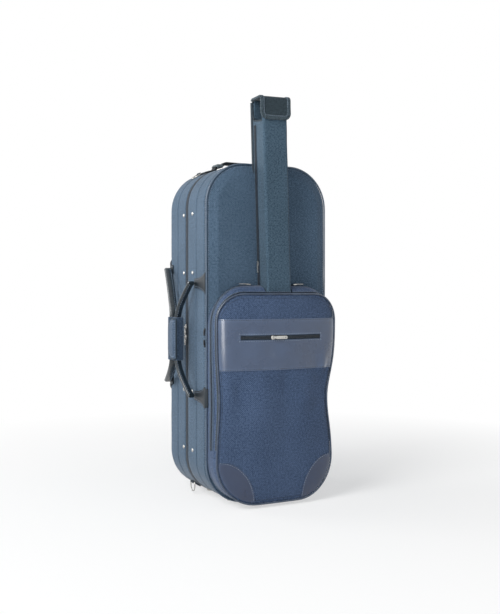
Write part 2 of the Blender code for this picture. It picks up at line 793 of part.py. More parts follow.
def main_slider(label, rear):
    """One of the two main sliders with its hanging pull, on the left-hand side."""
    level = SLIDER_LEVELS[label]
    base_x = LEFT_FACE - SLIDER_STAND_OFF
    top_x = base_x - SLIDER_THICKNESS
    pivot_x = top_x - EAR_HEIGHT / 2
    run = pivot(f"{label}_zip_slider_run", (base_x, 0, level), rear)
    outline = slider_outline(SLIDER_LENGTH, SLIDER_WIDTH, SLIDER_NECK_WIDTH, 0.0, level)
    slider = part(prism([outline], "YZ", top_x, base_x), f"{label}_zip_slider", run, "steel")
    ear_inner = PULL_TONGUE_WIDTH / 2 + FIT
    ears = []
    for side in (-1, 1):
        low_y, high_y = sorted((side * ear_inner, side * (ear_inner + EAR_THICKNESS)))
        ears.append(
            box(
                (top_x - EAR_HEIGHT, low_y, level - EAR_LENGTH / 2),
                (top_x + SLIDER_THICKNESS / 2, high_y, level + EAR_LENGTH / 2),
            )
        )
    join(slider, merged(ears))
    swing = pivot(f"{label}_zip_pull_swing", (pivot_x, 0, level), run)
    end = level - PULL_LENGTH
    shoulder = level - EAR_LENGTH
    outline = [
        (-PULL_TONGUE_WIDTH / 2, level + EAR_LENGTH / 4),
        (-PULL_TONGUE_WIDTH / 2, shoulder),
        (-PULL_WIDTH / 2, shoulder - PULL_WIDTH / 4),
        (-PULL_WIDTH / 2, end + PULL_WIDTH / 4),
        (-PULL_WIDTH / 4, end),
        (PULL_WIDTH / 4, end),
        (PULL_WIDTH / 2, end + PULL_WIDTH / 4),
        (PULL_WIDTH / 2, shoulder - PULL_WIDTH / 4),
        (PULL_TONGUE_WIDTH / 2, shoulder),
        (PULL_TONGUE_WIDTH / 2, level + EAR_LENGTH / 4),
    ]
    hole = circle(0.0, end + PULL_WIDTH / 2, PULL_SLOT_RADIUS, SMALL_ROUND_STEPS)
    pull = prism([outline, hole], "YZ", pivot_x - PULL_THICKNESS / 2, pivot_x + PULL_THICKNESS / 2)
    part(pull, f"{label}_zip_pull", swing, "steel")


def sleeve_slider(label, front):
    """A slider with a short pull on the side-entry zipper along the front edge."""
    level = SLEEVE_SLIDER_LEVELS[label]
    base_x = LEFT_FACE - FIT
    top_x = base_x - SLEEVE_SLIDER_THICKNESS
    run = pivot(f"{label}_sleeve_slider_run", (base_x, SLEEVE_SLIDER_Y, level), front)
    way = -1 if label == "upper" else 1
    outline = [
        (y, level - way * (z - level))
        for y, z in slider_outline(
            SLEEVE_SLIDER_LENGTH, SLEEVE_SLIDER_WIDTH, SLEEVE_PULL_WIDTH, SLEEVE_SLIDER_Y, level
        )
    ]
    slider = part(prism([outline], "YZ", top_x, base_x), f"{label}_sleeve_slider", run, "dark_metal")
    ends = sorted((level, level + way * (SLEEVE_SLIDER_LENGTH / 2 + SLEEVE_PULL_LENGTH)))
    pull = rounded_outline(SLEEVE_PULL_WIDTH / 2, *ends, SLEEVE_PULL_WIDTH / 4, 2, SLEEVE_SLIDER_Y)
    tab = prism([pull], "YZ", top_x - PULL_THICKNESS, top_x + PULL_THICKNESS / 2)
    join(slider, tab)


# Carrying handles


def loop_frame(axis_y, middle_y):
    """Origin and outward direction of the plane that a handle's loop lies in."""
    start = Vector((STRAP_AXIS_X, axis_y, HANDLE_MIDDLE))
    end = Vector((STRAP_MIDDLE_X, middle_y, HANDLE_MIDDLE))
    reach = (end - start).length
    return start, (end - start).normalized(), reach


def strap_path(axis_y, middle_y, spans):
    """The strap's middle line: out of the upper anchor, down through the grip, back into the lower."""
    start, outward, reach = loop_frame(axis_y, middle_y)
    grip_end = GRIP_LENGTH / 2 + RUNNING_GAP
    halves = []
    for sign, span in ((1, spans["upper"]), (-1, spans["lower"])):
        half = [start + Vector((0, 0, sign * span))]
        for step in range(STRAP_POINTS + 1):
            t = step / STRAP_POINTS
            weights = ((1 - t) ** 3, 3 * t * (1 - t) ** 2, 3 * t**2 * (1 - t), t**3)
            out = sum(w * share[0] for w, share in zip(weights, STRAP_CURVE_SHARES))
            rise = sum(w * share[1] for w, share in zip(weights, STRAP_CURVE_SHARES))
            along = outward * (STRAP_LEAD + (reach - STRAP_LEAD) * out)
            half.append(start + along + Vector((0, 0, sign * (grip_end + (span - grip_end) * rise))))
        halves.append(half)
    return halves[0] + halves[1][::-1]


def strap(name, axis_y, middle_y, spans, parent):
    """A padded leather strap of rounded section, its wide way across the plane of the loop."""
    section = strap_section()
    TOOLS.objects.link(section)
    section.hide_render = True
    obj = curve_object([strap_path(axis_y, middle_y, spans)], closed=False)
    obj.data.bevel_mode = "OBJECT"
    obj.data.bevel_object = section
    obj.data.use_fill_caps = True
    obj.data.twist_mode = "MINIMUM"
    made = part(baked(obj), name, parent, "strap_leather")
    bpy.data.objects.remove(section, do_unlink=True)
    return made


def grip(name, axis_y, middle_y, parent):
    """The padded sleeve round a strap's straight middle."""
    start, outward, reach = loop_frame(axis_y, middle_y)
    low, high = HANDLE_MIDDLE - GRIP_LENGTH / 2, HANDLE_MIDDLE + GRIP_LENGTH / 2
    bore = rounded_outline(
        STRAP_THICKNESS / 2 + FIT, -STRAP_WIDTH / 2 - FIT, STRAP_WIDTH / 2 + FIT, STRAP_ROUNDING + FIT, 2
    )
    shell = rounded_outline(GRIP_HALF_THICKNESS, -GRIP_HALF_WIDTH, GRIP_HALF_WIDTH, GRIP_ROUNDING, 3)
    middle = start + outward * reach
    normal = Vector((outward.y, -outward.x, 0))
    loops = []
    for loop in (shell, bore):
        places = [middle + outward * along + normal * across for along, across in loop]
        loops.append([(place.x, place.y) for place in places])
    return part(prism(loops, "XY", low, high), name, parent, "wrap_fabric")


def anchor(name, axis_y, base_y, level, parent):
    """A fan of leather sewn to the side, wide at the panel's edge, narrow where the strap leaves it.

    Past the flat of the side the fan follows the rounded rear edge.
    """
    tip_y = axis_y + math.copysign(ANCHOR_OVERLAP, axis_y - base_y)
    upper = []
    for step in range(ANCHOR_STEPS + 1):
        share = step / ANCHOR_STEPS
        half = ANCHOR_TIP / 2 + (ANCHOR_BASE - ANCHOR_TIP) / 2 * share**ANCHOR_FLARE
        upper.append((tip_y + (base_y - tip_y) * share, level + half))
    outline = upper + [(y, 2 * level - z) for y, z in reversed(upper)]
    inner = side_section(sorted((tip_y, base_y)), FIT)
    outer = side_section(sorted((tip_y, base_y)), FIT + ANCHOR_THICKNESS)
    plate = prism([inner + outer[::-1]], "XY", level - ANCHOR_BASE, level + ANCHOR_BASE)
    fan = part(plate, name, parent, "strap_leather")
    boolean(fan, prism([outline], "YZ", STRAP_AXIS_X, LEFT_FACE + REAR_EDGE_RADIUS), "INTERSECT")
    return fan


def side_section(ends, stand_off):
    """Seen from above, a line that far outside the left side and its rounded rear edge."""
    low, high = ends[0] - stand_off, ends[1] + stand_off
    flat_end = REAR_DEPTH - REAR_EDGE_RADIUS
    line = [(LEFT_FACE - stand_off, low), (LEFT_FACE - stand_off, min(high, flat_end))]
    for step in range(1, ROUND_STEPS + 1):
        turn = step * math.pi / 2 / ROUND_STEPS
        y = flat_end + (REAR_EDGE_RADIUS + stand_off) * math.sin(turn)
        if y > high:
            break
        line.append((LEFT_FACE + REAR_EDGE_RADIUS - (REAR_EDGE_RADIUS + stand_off) * math.cos(turn), y))
    return line


def wrap_flap(front_swing, front_middle):
    """A D-shaped flap on the front grip that closes over the rear grip."""
    inner_x = STRAP_MIDDLE_X - grip_reach() - FIT
    start_y = front_middle - GRIP_HALF_WIDTH - FLAP_OVERHANG / 2
    end_y = FLAP_REAR_END
    radius = FLAP_HEIGHT * FLAP_CORNER_SHARE
    middle = HANDLE_MIDDLE
    round_part = [
        (
            end_y - radius + radius * math.cos(angle),
            middle + (FLAP_HEIGHT / 2 - radius) * math.copysign(1, angle) + radius * math.sin(angle),
        )
        for angle in (math.pi / 2 * (1 - step / EDGE_STEPS) for step in range(EDGE_STEPS + 1))
    ]
    lower = [(y, 2 * middle - z) for y, z in reversed(round_part)]
    outline = [(start_y, middle - FLAP_HEIGHT / 2), (start_y, middle + FLAP_HEIGHT / 2)] + round_part + lower
    peel = pivot("wrap_flap_peel", (inner_x, start_y, middle), front_swing)
    flap = prism([outline], "YZ", inner_x - FLAP_THICKNESS, inner_x)
    part(flap, "handle_wrap_flap", peel, "wrap_fabric")


def grip_reach():
    """How far a grip stands out past its strap's middle line, at the larger tilt of the two."""
    tilts = [loop_frame(y, math.copysign(GRIP_MIDDLE_Y, y))[1] for y in (FRONT_AXIS_Y, REAR_AXIS_Y)]
    flat_width = GRIP_HALF_WIDTH - GRIP_ROUNDING
    flat_thickness = GRIP_HALF_THICKNESS - GRIP_ROUNDING
    return max(flat_width * abs(tilt.y) + flat_thickness * abs(tilt.x) for tilt in tilts) + GRIP_ROUNDING


def handles(rear, front):
    front_middle, rear_middle = -GRIP_MIDDLE_Y, GRIP_MIDDLE_Y
    front_swing = pivot("front_handle_swing", (STRAP_AXIS_X, FRONT_AXIS_Y, HANDLE_MIDDLE), front)
    rear_swing = pivot("rear_handle_swing", (STRAP_AXIS_X, REAR_AXIS_Y, HANDLE_MIDDLE), rear)
    strap("front_handle", FRONT_AXIS_Y, front_middle, FRONT_HANDLE_SPANS, front_swing)
    strap("rear_handle", REAR_AXIS_Y, rear_middle, REAR_HANDLE_SPANS, rear_swing)
    grip("front_handle_grip", FRONT_AXIS_Y, front_middle, front_swing)
    grip("rear_handle_grip", REAR_AXIS_Y, rear_middle, rear_swing)
    for label, sign in (("upper", 1), ("lower", -1)):
        front_level = HANDLE_MIDDLE + sign * FRONT_HANDLE_SPANS[label]
        rear_level = HANDLE_MIDDLE + sign * REAR_HANDLE_SPANS[label]
        anchor(f"front_handle_{label}_anchor", FRONT_AXIS_Y, FRONT_ANCHOR_BASE_Y, front_level, front)
        anchor(f"rear_handle_{label}_anchor", REAR_AXIS_Y, REAR_ANCHOR_BASE_Y, rear_level, rear)
    wrap_flap(front_swing, front_middle)


# Top handle and D-rings


def grab_handle(rear):
    """A webbing loop on top of the rear half, its sewn ends following the rounded shoulders."""
    arch_half = GRAB_HALF_SPAN - GRAB_PAD_LENGTH
    lower, upper = [], []
    for step in range(2 * GRAB_STEPS + 1):
        x = -GRAB_HALF_SPAN + step * GRAB_HALF_SPAN / GRAB_STEPS
        share = max(0.0, 1 - abs(x) / arch_half)
        rise = GRAB_RISE * math.sin(min(1.0, 1.6 * share) * math.pi / 2) ** 2
        base = outline_top(x) * (1 - share) + CASE_HIGH * share
        lower.append((x, base + FIT + rise))
        upper.append((x, base + FIT + rise + GRAB_THICKNESS))
    outline = lower + upper[::-1]
    half = GRAB_WIDTH / 2
    strap_piece = prism([outline], "XZ", GRAB_Y - half, GRAB_Y + half)
    part(strap_piece, "top_grab_handle", rear, "webbing")


def d_ring(name, angle, y, swing_to, droop, rear):
    """A D-ring in a webbing tab on a rounded corner of the case outline.

    The tab's tail runs up or down the corner, and the ring lies or hangs on the other side.
    """
    centre_z = CASE_HIGH - CORNER_RADIUS if angle < math.pi else CASE_LOW + CORNER_RADIUS
    centre = Vector((LEFT_FACE + CORNER_RADIUS, y, centre_z))
    normal = Vector((math.cos(angle), 0, math.sin(angle)))
    tangent = Vector((-normal.z, 0, normal.x)) * swing_to
    roll_radius = RING_WIRE_RADIUS + FIT + TAB_WALL
    bar = centre + normal * (CORNER_RADIUS + FIT + roll_radius)
    hang = pivot(f"{name}_swing", bar, rear)
    if droop is None:
        direction = Vector((0, 0, -1))
    else:
        direction = tangent * math.cos(droop) - normal * math.sin(droop)
    across = Vector((0, 1, 0))
    half = RING_WIDTH / 2 - RING_WIRE_RADIUS
    bow = RING_LENGTH - RING_WIRE_RADIUS
    straight = bow - half
    path = [bar + across * half, bar + across * half + direction * straight]
    path += [
        bar + direction * (straight + half * math.sin(turn)) + across * half * math.cos(turn)
        for turn in (step * math.pi / RING_STEPS for step in range(1, RING_STEPS))
    ]
    path += [bar - across * half + direction * straight, bar - across * half]
    ring = wire([tuple(point) for point in path], RING_WIRE_RADIUS, closed=True, resolution=1)
    part(ring, name, hang, "steel")
    outline = tab_outline(centre, angle, swing_to, roll_radius)
    hole = circle(bar.x, bar.z, RING_WIRE_RADIUS + FIT, SMALL_ROUND_STEPS)
    tab = prism([outline, hole], "XZ", y - TAB_WIDTH / 2, y + TAB_WIDTH / 2)
    part(tab, name.replace("_d_ring", "_ring_tab"), rear, "webbing")


def tab_outline(centre, angle, swing_to, roll_radius):
    """Side view of a folded webbing tab: a roll round the bar and a tail along the rounded corner."""
    under = CORNER_RADIUS + FIT
    bar_x = centre.x + (under + roll_radius) * math.cos(angle)
    bar_z = centre.z + (under + roll_radius) * math.sin(angle)
    turns = [angle + swing_to * math.pi * step / SMALL_ROUND_STEPS for step in range(SMALL_ROUND_STEPS + 1)]
    roll = [(bar_x + roll_radius * math.cos(turn), bar_z + roll_radius * math.sin(turn)) for turn in turns]
    tail_step = swing_to * TAB_TAIL / under / EDGE_STEPS
    tail_turns = [angle - tail_step * step for step in range(1, EDGE_STEPS + 1)]
    lower = [(centre.x + under * math.cos(turn), centre.z + under * math.sin(turn)) for turn in tail_turns]
    over = under + 2 * TAB_WALL
    upper = [(centre.x + over * math.cos(turn), centre.z + over * math.sin(turn)) for turn in tail_turns]
    return roll + lower + upper[::-1]


# Front pocket


def pocket_points(half_width, low, high, top_radius, low_radius, waist):
    """A soft rounded outline whose long sides can draw in at the waist."""
    corners = (
        (half_width - low_radius, low + low_radius, low_radius, -math.pi / 2),
        (half_width - top_radius, high - top_radius, top_radius, 0.0),
        (top_radius - half_width, high - top_radius, top_radius, math.pi / 2),
        (low_radius - half_width, low + low_radius, low_radius, math.pi),
    )
    runs = (POCKET_SIDE_STEPS, POCKET_END_STEPS, POCKET_SIDE_STEPS, POCKET_END_STEPS)
    points = []
    for index, (x, z, radius, start) in enumerate(corners):
        for step in range(POCKET_CORNER_STEPS + 1):
            turn = start + step * math.pi / 2 / POCKET_CORNER_STEPS
            points.append((x + radius * math.cos(turn), z + radius * math.sin(turn)))
        next_x, next_z, next_radius, next_start = corners[(index + 1) % len(corners)]
        first = points[-1]
        last = (
            next_x + next_radius * math.cos(next_start),
            next_z + next_radius * math.sin(next_start),
        )
        for step in range(1, runs[index]):
            share = step / runs[index]
            points.append(tuple(a + (b - a) * share for a, b in zip(first, last)))
    return [(waisted(x, z, half_width, waist), z) for x, z in points]


def waisted(x, z, half_width, amount):
    """Draw a point in towards the middle around the waist level, more on the right than the left.

    Below the waist the right-hand side keeps a share of the draw.
    """
    bell = math.exp(-(((z - POCKET_WAIST_LEVEL) / POCKET_WAIST_HEIGHT) ** 2))
    if x > 0 and z < POCKET_WAIST_LEVEL:
        bell += (1 - bell) * POCKET_LOW_DRAW_SHARE
    pull = POCKET_RIGHT_WAIST if x > 0 else POCKET_LEFT_WAIST
    return x - math.copysign(pull * amount * bell * abs(x) / half_width, x)


def pocket_depth(x, z):
    """How far the pocket's front stands out from the case at a point of the front view."""
    ramp = (z - POCKET_CROWN_FROM) / (POCKET_CROWN_TO - POCKET_CROWN_FROM)
    ramp = min(1.0, max(0.0, ramp))
    smooth = ramp * ramp * (3 - 2 * ramp)
    crown = POCKET_LOW_CROWN + (POCKET_TOP_CROWN - POCKET_LOW_CROWN) * smooth
    return POCKET_DEPTH + crown * (1 - (x / POCKET_HALF_WIDTH) ** 2)


def pocket_front_outline():
    return pocket_points(
        POCKET_HALF_WIDTH, POCKET_LOW, POCKET_HIGH, POCKET_TOP_RADIUS, POCKET_LOW_RADIUS, 1.0
    )


def pocket_back_outline():
    return pocket_points(
        POCKET_BACK_HALF_WIDTH, POCKET_LOW, POCKET_BACK_HIGH, POCKET_BACK_TOP_RADIUS, POCKET_LOW_RADIUS, 0.0
    )


def panel_rings(offset=0.0, edge_share=1.0):
    """Rings of the crowned front panel, from its edge or from a share of its size inwards."""
    edge = pocket_front_outline()
    middle_z = (POCKET_LOW + POCKET_HIGH) / 2
    rings = []
    for share in (edge_share, *POCKET_RING_SHARES):
        ring = []
        for x, z in edge:
            near_x, near_z = x * share, middle_z + (z - middle_z) * share
            puff = POCKET_PUFF * (1 - share**4)
            ring.append((near_x, FRONT_FACE - pocket_depth(near_x, near_z) - puff - offset, near_z))
        rings.append(ring)
    return rings


def swollen_outline(back, front):
    """Front view of the gusset's fullest line, between the back edge and the front edge."""
    middle_z = (POCKET_LOW + POCKET_HIGH) / 2
    line = []
    for (back_x, back_z), (front_x, front_z) in zip(back, front):
        x = back_x + (front_x - back_x) * POCKET_SWELL_SHARE
        z = back_z + (front_z - back_z) * POCKET_SWELL_SHARE**3
        outward = Vector((x, z - middle_z)).normalized() * POCKET_SWELL
        line.append((x + outward.x, max(POCKET_LOW - POCKET_SWELL / 2, z + outward.y)))
    return line


def pocket_shell():
    """The whole pocket as an open bag: back edge, swollen gusset, crowned front panel."""
    back = pocket_back_outline()
    front = pocket_front_outline()
    gusset = [
        (x, FRONT_FACE - pocket_depth(fx, fz) * POCKET_SWELL_SHARE, z)
        for (x, z), (fx, fz) in zip(swollen_outline(back, front), front)
    ]
    rings = [[(x, FRONT_FACE + POCKET_WALL, z) for x, z in back], gusset, *panel_rings()]
    return walled(loft(rings), POCKET_WALL, -1)


def walled(maker, thickness, offset):
    """Give an open skin a wall, inwards (-1) or outwards (+1)."""
    obj = mesh_object(maker)
    front_face = min(obj.data.polygons, key=lambda face: face.center.y)
    if front_face.normal.y > 0:
        obj.data.flip_normals()
    wall = obj.modifiers.new("wall", "SOLIDIFY")
    wall.thickness = thickness
    wall.offset = offset
    wall.use_even_offset = True
    return baked(obj)


def base_section(gap, behind):
    """Side view of what stays on the case: a shallow frame above, a deep tray below."""
    frame = FRONT_FACE - POCKET_BASE_DEPTH - gap
    tray = FRONT_FACE - POCKET_TRAY_DEPTH - gap
    top = POCKET_BACK_HIGH + POCKET_SWELL + OVERRUN
    bottom = POCKET_LOW - POCKET_SWELL - OVERRUN
    step = POCKET_TRAY_HIGH + gap
    return [(behind, bottom), (behind, top), (frame, top), (frame, step), (tray, step), (tray, bottom)]


def notch_tool(front_gap):
    """The way through the pocket's top for the quiver tube."""
    reach = TUBE_FRONT_FACE - front_gap
    lean = math.tan(TUBE_LEAN) * (POCKET_BACK_HIGH - TUBE_LEAN_LEVEL + POCKET_TOP_RADIUS)
    low = (TUBE_LEFT - NOTCH_GAP - lean, reach, POCKET_HIGH - POCKET_TOP_RADIUS)
    high_z = POCKET_BACK_HIGH + POCKET_SWELL + OVERRUN + OVERRUN
    high = (TUBE_RIGHT + NOTCH_GAP + lean, FRONT_FACE + OVERRUN + OVERRUN, high_z)
    return box(low, high)


def pocket(front):
    """The fixed base, the hinged front with its piping, and what is sewn on the front."""
    reach = POCKET_HALF_WIDTH + POCKET_SWELL + OVERRUN + OVERRUN
    base = part(pocket_shell(), "pocket_base", front, "pocket_fabric")
    section = prism([base_section(0.0, FRONT_FACE - FIT)], "YZ", -reach, reach)
    boolean(base, combined(section, notch_tool(NOTCH_GAP), "DIFFERENCE"), "INTERSECT")
    hinge_y = FRONT_FACE - POCKET_TRAY_DEPTH - RUNNING_GAP
    opening = pivot("pocket_lid_hinge", (0, hinge_y, POCKET_LOW - POCKET_SWELL / 2), front)
    lid = part(pocket_shell(), "pocket_lid", opening, "pocket_fabric")
    section = prism([base_section(RUNNING_GAP, FRONT_FACE + OVERRUN)], "YZ", -reach, reach)
    cut(lid, combined(section, notch_tool(RUNNING_GAP), "UNION"))
    pocket_piping(opening)
    pocket_trim(opening)
    window_slider(opening)
    for sign, label in ((-1, "left"), (1, "right")):
        pocket_slider(sign, label, front)


def pocket_piping(opening):
    path = []
    outline = pocket_front_outline()
    for index, (x, z) in enumerate(outline):
        before, after = outline[index - 1], outline[(index + 1) % len(outline)]
        outward = Vector((after[1] - before[1], before[0] - after[0])).normalized()
        depth = pocket_depth(x, z)
        path.append(
            (
                x + outward.x * POCKET_PIPING_OFFSET,
                FRONT_FACE - depth - POCKET_PIPING_OFFSET,
                z + outward.y * POCKET_PIPING_OFFSET,
            )
        )
    part(wire(path, POCKET_PIPING_RADIUS, closed=True, resolution=1), "pocket_piping", opening, "piping")


def skin():
    return walled(loft(panel_rings(SKIN_GAP, SKIN_EDGE_SHARE)), SKIN_THICKNESS, 1)


def sewn_on(name, loops, opening, material_name):
    """A sheet that follows the crowned panel inside the given outline."""
    piece = part(skin(), name, opening, material_name)
    far = FRONT_FACE - POCKET_DEPTH - POCKET_TOP_CROWN - POCKET_PUFF - OVERRUN
    boolean(piece, prism(loops, "XZ", far, FRONT_FACE), "INTERSECT")
    return piece


def pocket_trim(opening):
    reach = POCKET_HALF_WIDTH + OVERRUN
    window = [
        (WINDOW_LEFT, WINDOW_LEVEL - WINDOW_HEIGHT / 2),
        (WINDOW_RIGHT, WINDOW_LEVEL - WINDOW_HEIGHT / 2),
        (WINDOW_RIGHT, WINDOW_LEVEL + WINDOW_HEIGHT / 2),
        (WINDOW_LEFT, WINDOW_LEVEL + WINDOW_HEIGHT / 2),
    ]
    band = [(-reach, BAND_LOW), (reach, BAND_LOW), (reach, BAND_HIGH), (-reach, BAND_HIGH)]
    sewn_on("vinyl_band", [band, window], opening, "vinyl")
    tape = [
        (WINDOW_LEFT + FIT, WINDOW_LEVEL - WINDOW_HEIGHT / 2 + FIT),
        (WINDOW_RIGHT - FIT, WINDOW_LEVEL - WINDOW_HEIGHT / 2 + FIT),
        (WINDOW_RIGHT - FIT, WINDOW_LEVEL + WINDOW_HEIGHT / 2 - FIT),
        (WINDOW_LEFT + FIT, WINDOW_LEVEL + WINDOW_HEIGHT / 2 - FIT),
    ]
    sewn_on("window_zipper", [tape], opening, "zipper_tape")
    for sign, label in ((-1, "left"), (1, "right")):
        arc = [
            (
                sign * (POCKET_HALF_WIDTH - PATCH_WIDTH * math.cos(turn)),
                POCKET_LOW + PATCH_HEIGHT * math.sin(turn),
            )
            for turn in (step * math.pi / 2 / PATCH_STEPS for step in range(PATCH_STEPS + 1))
        ]
        low = POCKET_LOW - OVERRUN
        corner = [(sign * reach, arc[-1][1]), (sign * reach, low), (arc[0][0], low)]
        sewn_on(f"vinyl_corner_{label}", [arc + corner], opening, "vinyl")


def window_slider(opening):
    """The slider of the band's zipper, which travels on the crowned panel's arc, and its long pull.

    Both are made at the middle of the arc and turned to where the slider stands.
    """
    middle_z = (POCKET_LOW + POCKET_HIGH) / 2
    share = (WINDOW_LEVEL - middle_z) / (POCKET_HIGH - middle_z)
    panel = FRONT_FACE - pocket_depth(0.0, WINDOW_LEVEL) - POCKET_PUFF * (1 - share**4)
    surface = panel - SKIN_GAP - SKIN_THICKNESS - FIT
    crown_radius = POCKET_HALF_WIDTH**2 / (2 * POCKET_TOP_CROWN)
    run = pivot("window_slider_run", (0, surface + crown_radius, WINDOW_LEVEL), opening)
    run.rotation_euler = (0, 0, math.asin(WINDOW_SLIDER_X / crown_radius))
    top = surface - SLIDER_THICKNESS
    outline = [
        (-z, WINDOW_LEVEL + y)
        for y, z in slider_outline(SLIDER_LENGTH, SLIDER_WIDTH, SLIDER_NECK_WIDTH, 0.0, 0.0)
    ]
    slider = part(prism([outline], "XZ", top, surface), "window_slider", run, "steel")
    ear_inner = PULL_TONGUE_WIDTH / 2 + FIT
    ears = []
    for side in (-1, 1):
        low_z, high_z = sorted((side * ear_inner, side * (ear_inner + EAR_THICKNESS)))
        ears.append(
            box(
                (-EAR_LENGTH / 2, top - EAR_HEIGHT, WINDOW_LEVEL + low_z),
                (EAR_LENGTH / 2, top + SLIDER_THICKNESS / 2, WINDOW_LEVEL + high_z),
            )
        )
    join(slider, merged(ears))
    pivot_y = top - EAR_HEIGHT / 2
    swing = pivot("window_pull_swing", (0, pivot_y, WINDOW_LEVEL), run)
    end = WINDOW_PULL_LENGTH
    shoulder = EAR_LENGTH
    outline = [
        (-EAR_LENGTH / 4, WINDOW_LEVEL - PULL_TONGUE_WIDTH / 2),
        (shoulder, WINDOW_LEVEL - PULL_TONGUE_WIDTH / 2),
        (shoulder + PULL_WIDTH / 4, WINDOW_LEVEL - PULL_WIDTH / 2),
        (end - PULL_WIDTH / 4, WINDOW_LEVEL - PULL_WIDTH / 2),
        (end, WINDOW_LEVEL - PULL_WIDTH / 4),
        (end, WINDOW_LEVEL + PULL_WIDTH / 4),
        (end - PULL_WIDTH / 4, WINDOW_LEVEL + PULL_WIDTH / 2),
        (shoulder + PULL_WIDTH / 4, WINDOW_LEVEL + PULL_WIDTH / 2),
        (shoulder, WINDOW_LEVEL + PULL_TONGUE_WIDTH / 2),
        (-EAR_LENGTH / 4, WINDOW_LEVEL + PULL_TONGUE_WIDTH / 2),
    ]
    hole = circle(end - PULL_WIDTH / 2, WINDOW_LEVEL, PULL_SLOT_RADIUS, SMALL_ROUND_STEPS)
    pull = prism([outline, hole], "XZ", pivot_y - PULL_THICKNESS / 2, pivot_y + PULL_THICKNESS / 2)
    part(pull, "window_pull", swing, "steel")


def pocket_slider(sign, label, front):
    """A slider on the pocket's top zipper. It travels round the upper corner of the gusset."""
    y = FRONT_FACE - POCKET_BASE_DEPTH
    start_x, surface, radius = slider_course(y + POCKET_SLIDER_WIDTH / 2)
    top = surface + RUNNING_GAP
    centre_x = sign * start_x
    run = pivot(f"pocket_slider_{label}_run", (centre_x, y, surface - radius), front)
    outline = [
        (centre_x - sign * z, y + across)
        for across, z in slider_outline(
            POCKET_SLIDER_LENGTH, POCKET_SLIDER_WIDTH, POCKET_PULL_WIDTH, 0.0, POCKET_SLIDER_LENGTH / 2
        )
    ]
    slider = part(
        prism([outline], "XY", top, top + POCKET_SLIDER_THICKNESS), f"pocket_slider_{label}", run, "steel"
    )
    tab_low = top + POCKET_SLIDER_THICKNESS - POCKET_PULL_THICKNESS / 2
    ends = sorted((centre_x - sign * POCKET_SLIDER_LENGTH / 2, centre_x + sign * POCKET_PULL_LENGTH))
    tab = box(
        (ends[0], y - POCKET_PULL_WIDTH / 2, tab_low),
        (ends[1], y + POCKET_PULL_WIDTH / 2, tab_low + POCKET_PULL_THICKNESS),
    )
    join(slider, tab)


def gusset_section(y):
    """The pocket's outline where a plane of the given depth cuts its gusset."""
    back, front = pocket_back_outline(), pocket_front_outline()
    section = []
    for (back_x, back_z), (x, z) in zip(back, swollen_outline(back, front)):
        depth = pocket_depth(x, z)
        share = (FRONT_FACE + POCKET_WALL - y) / (POCKET_WALL + depth * POCKET_SWELL_SHARE)
        section.append((back_x + (x - back_x) * share, back_z + (z - back_z) * share))
    return section


def slider_course(y):
    """Where the arc starts on the gusset's flat top, how high that is, and the arc's radius."""
    section = gusset_section(y)
    surface = max(z for _, z in section)
    start_x = max(x for x, z in section if z > surface - RUNNING_GAP / 2)
    radius = 0.0
    for step in range(1, POCKET_SLIDER_TURN_STEPS + 1):
        turn = POCKET_SLIDER_TURN * step / POCKET_SLIDER_TURN_STEPS
        reach = max((x - start_x) * math.sin(turn) + (z - surface) * math.cos(turn) for x, z in section)
        radius = max(radius, reach / (1 - math.cos(turn)))
    return start_x, surface, radius * POCKET_SLIDER_ARC_SLACK


# Quiver tube


def quiver(front):
    """A square tube for bows with a hinged flap. The tube leans a little, as it is sewn on."""
    middle_x = (TUBE_LEFT + TUBE_RIGHT) / 2
    lean = pivot("quiver_lean", (middle_x, TUBE_BACK_FACE, TUBE_LEAN_LEVEL), front)
    lean.rotation_euler = (0, -TUBE_LEAN, 0)
    half = (TUBE_RIGHT - TUBE_LEFT) / 2
    outer = rounded_outline(half, TUBE_FRONT_FACE, TUBE_BACK_FACE, TUBE_ROUNDING, 3, middle_x)
    inner = rounded_outline(
        half - TUBE_WALL,
        TUBE_FRONT_FACE + TUBE_WALL,
        TUBE_BACK_FACE - TUBE_WALL,
        TUBE_ROUNDING - TUBE_WALL,
        3,
        middle_x,
    )
    tube = part(prism([outer], "XY", TUBE_LOW, TUBE_BACK_HIGH), "quiver_tube", lean, "tube_fabric")
    cut(tube, prism([inner], "XY", TUBE_LOW + TUBE_WALL, TUBE_BACK_HIGH + OVERRUN))
    reach = half + OVERRUN
    sides = box(
        (middle_x - reach, TUBE_FRONT_FACE + TUBE_ROUNDING, TUBE_SIDE_HIGH),
        (middle_x + reach, TUBE_BACK_FACE - TUBE_ROUNDING, TUBE_BACK_HIGH + OVERRUN),
    )
    front_wall = box(
        (middle_x - reach, TUBE_FRONT_FACE - OVERRUN, TUBE_FRONT_HIGH),
        (middle_x + reach, TUBE_FRONT_FACE + TUBE_ROUNDING + OVERRUN, TUBE_BACK_HIGH + OVERRUN),
    )
    cut(tube, sides, front_wall)
    seam = box(
        (middle_x - TUBE_SEAM_HALF_WIDTH, TUBE_BACK_FACE - TUBE_WALL / 2, TUBE_LOW),
        (middle_x + TUBE_SEAM_HALF_WIDTH, FRONT_FACE - FIT, TUBE_SEAM_HIGH),
    )
    join(tube, seam)
    quiver_flap(lean, middle_x)
    quiver_slider(lean)


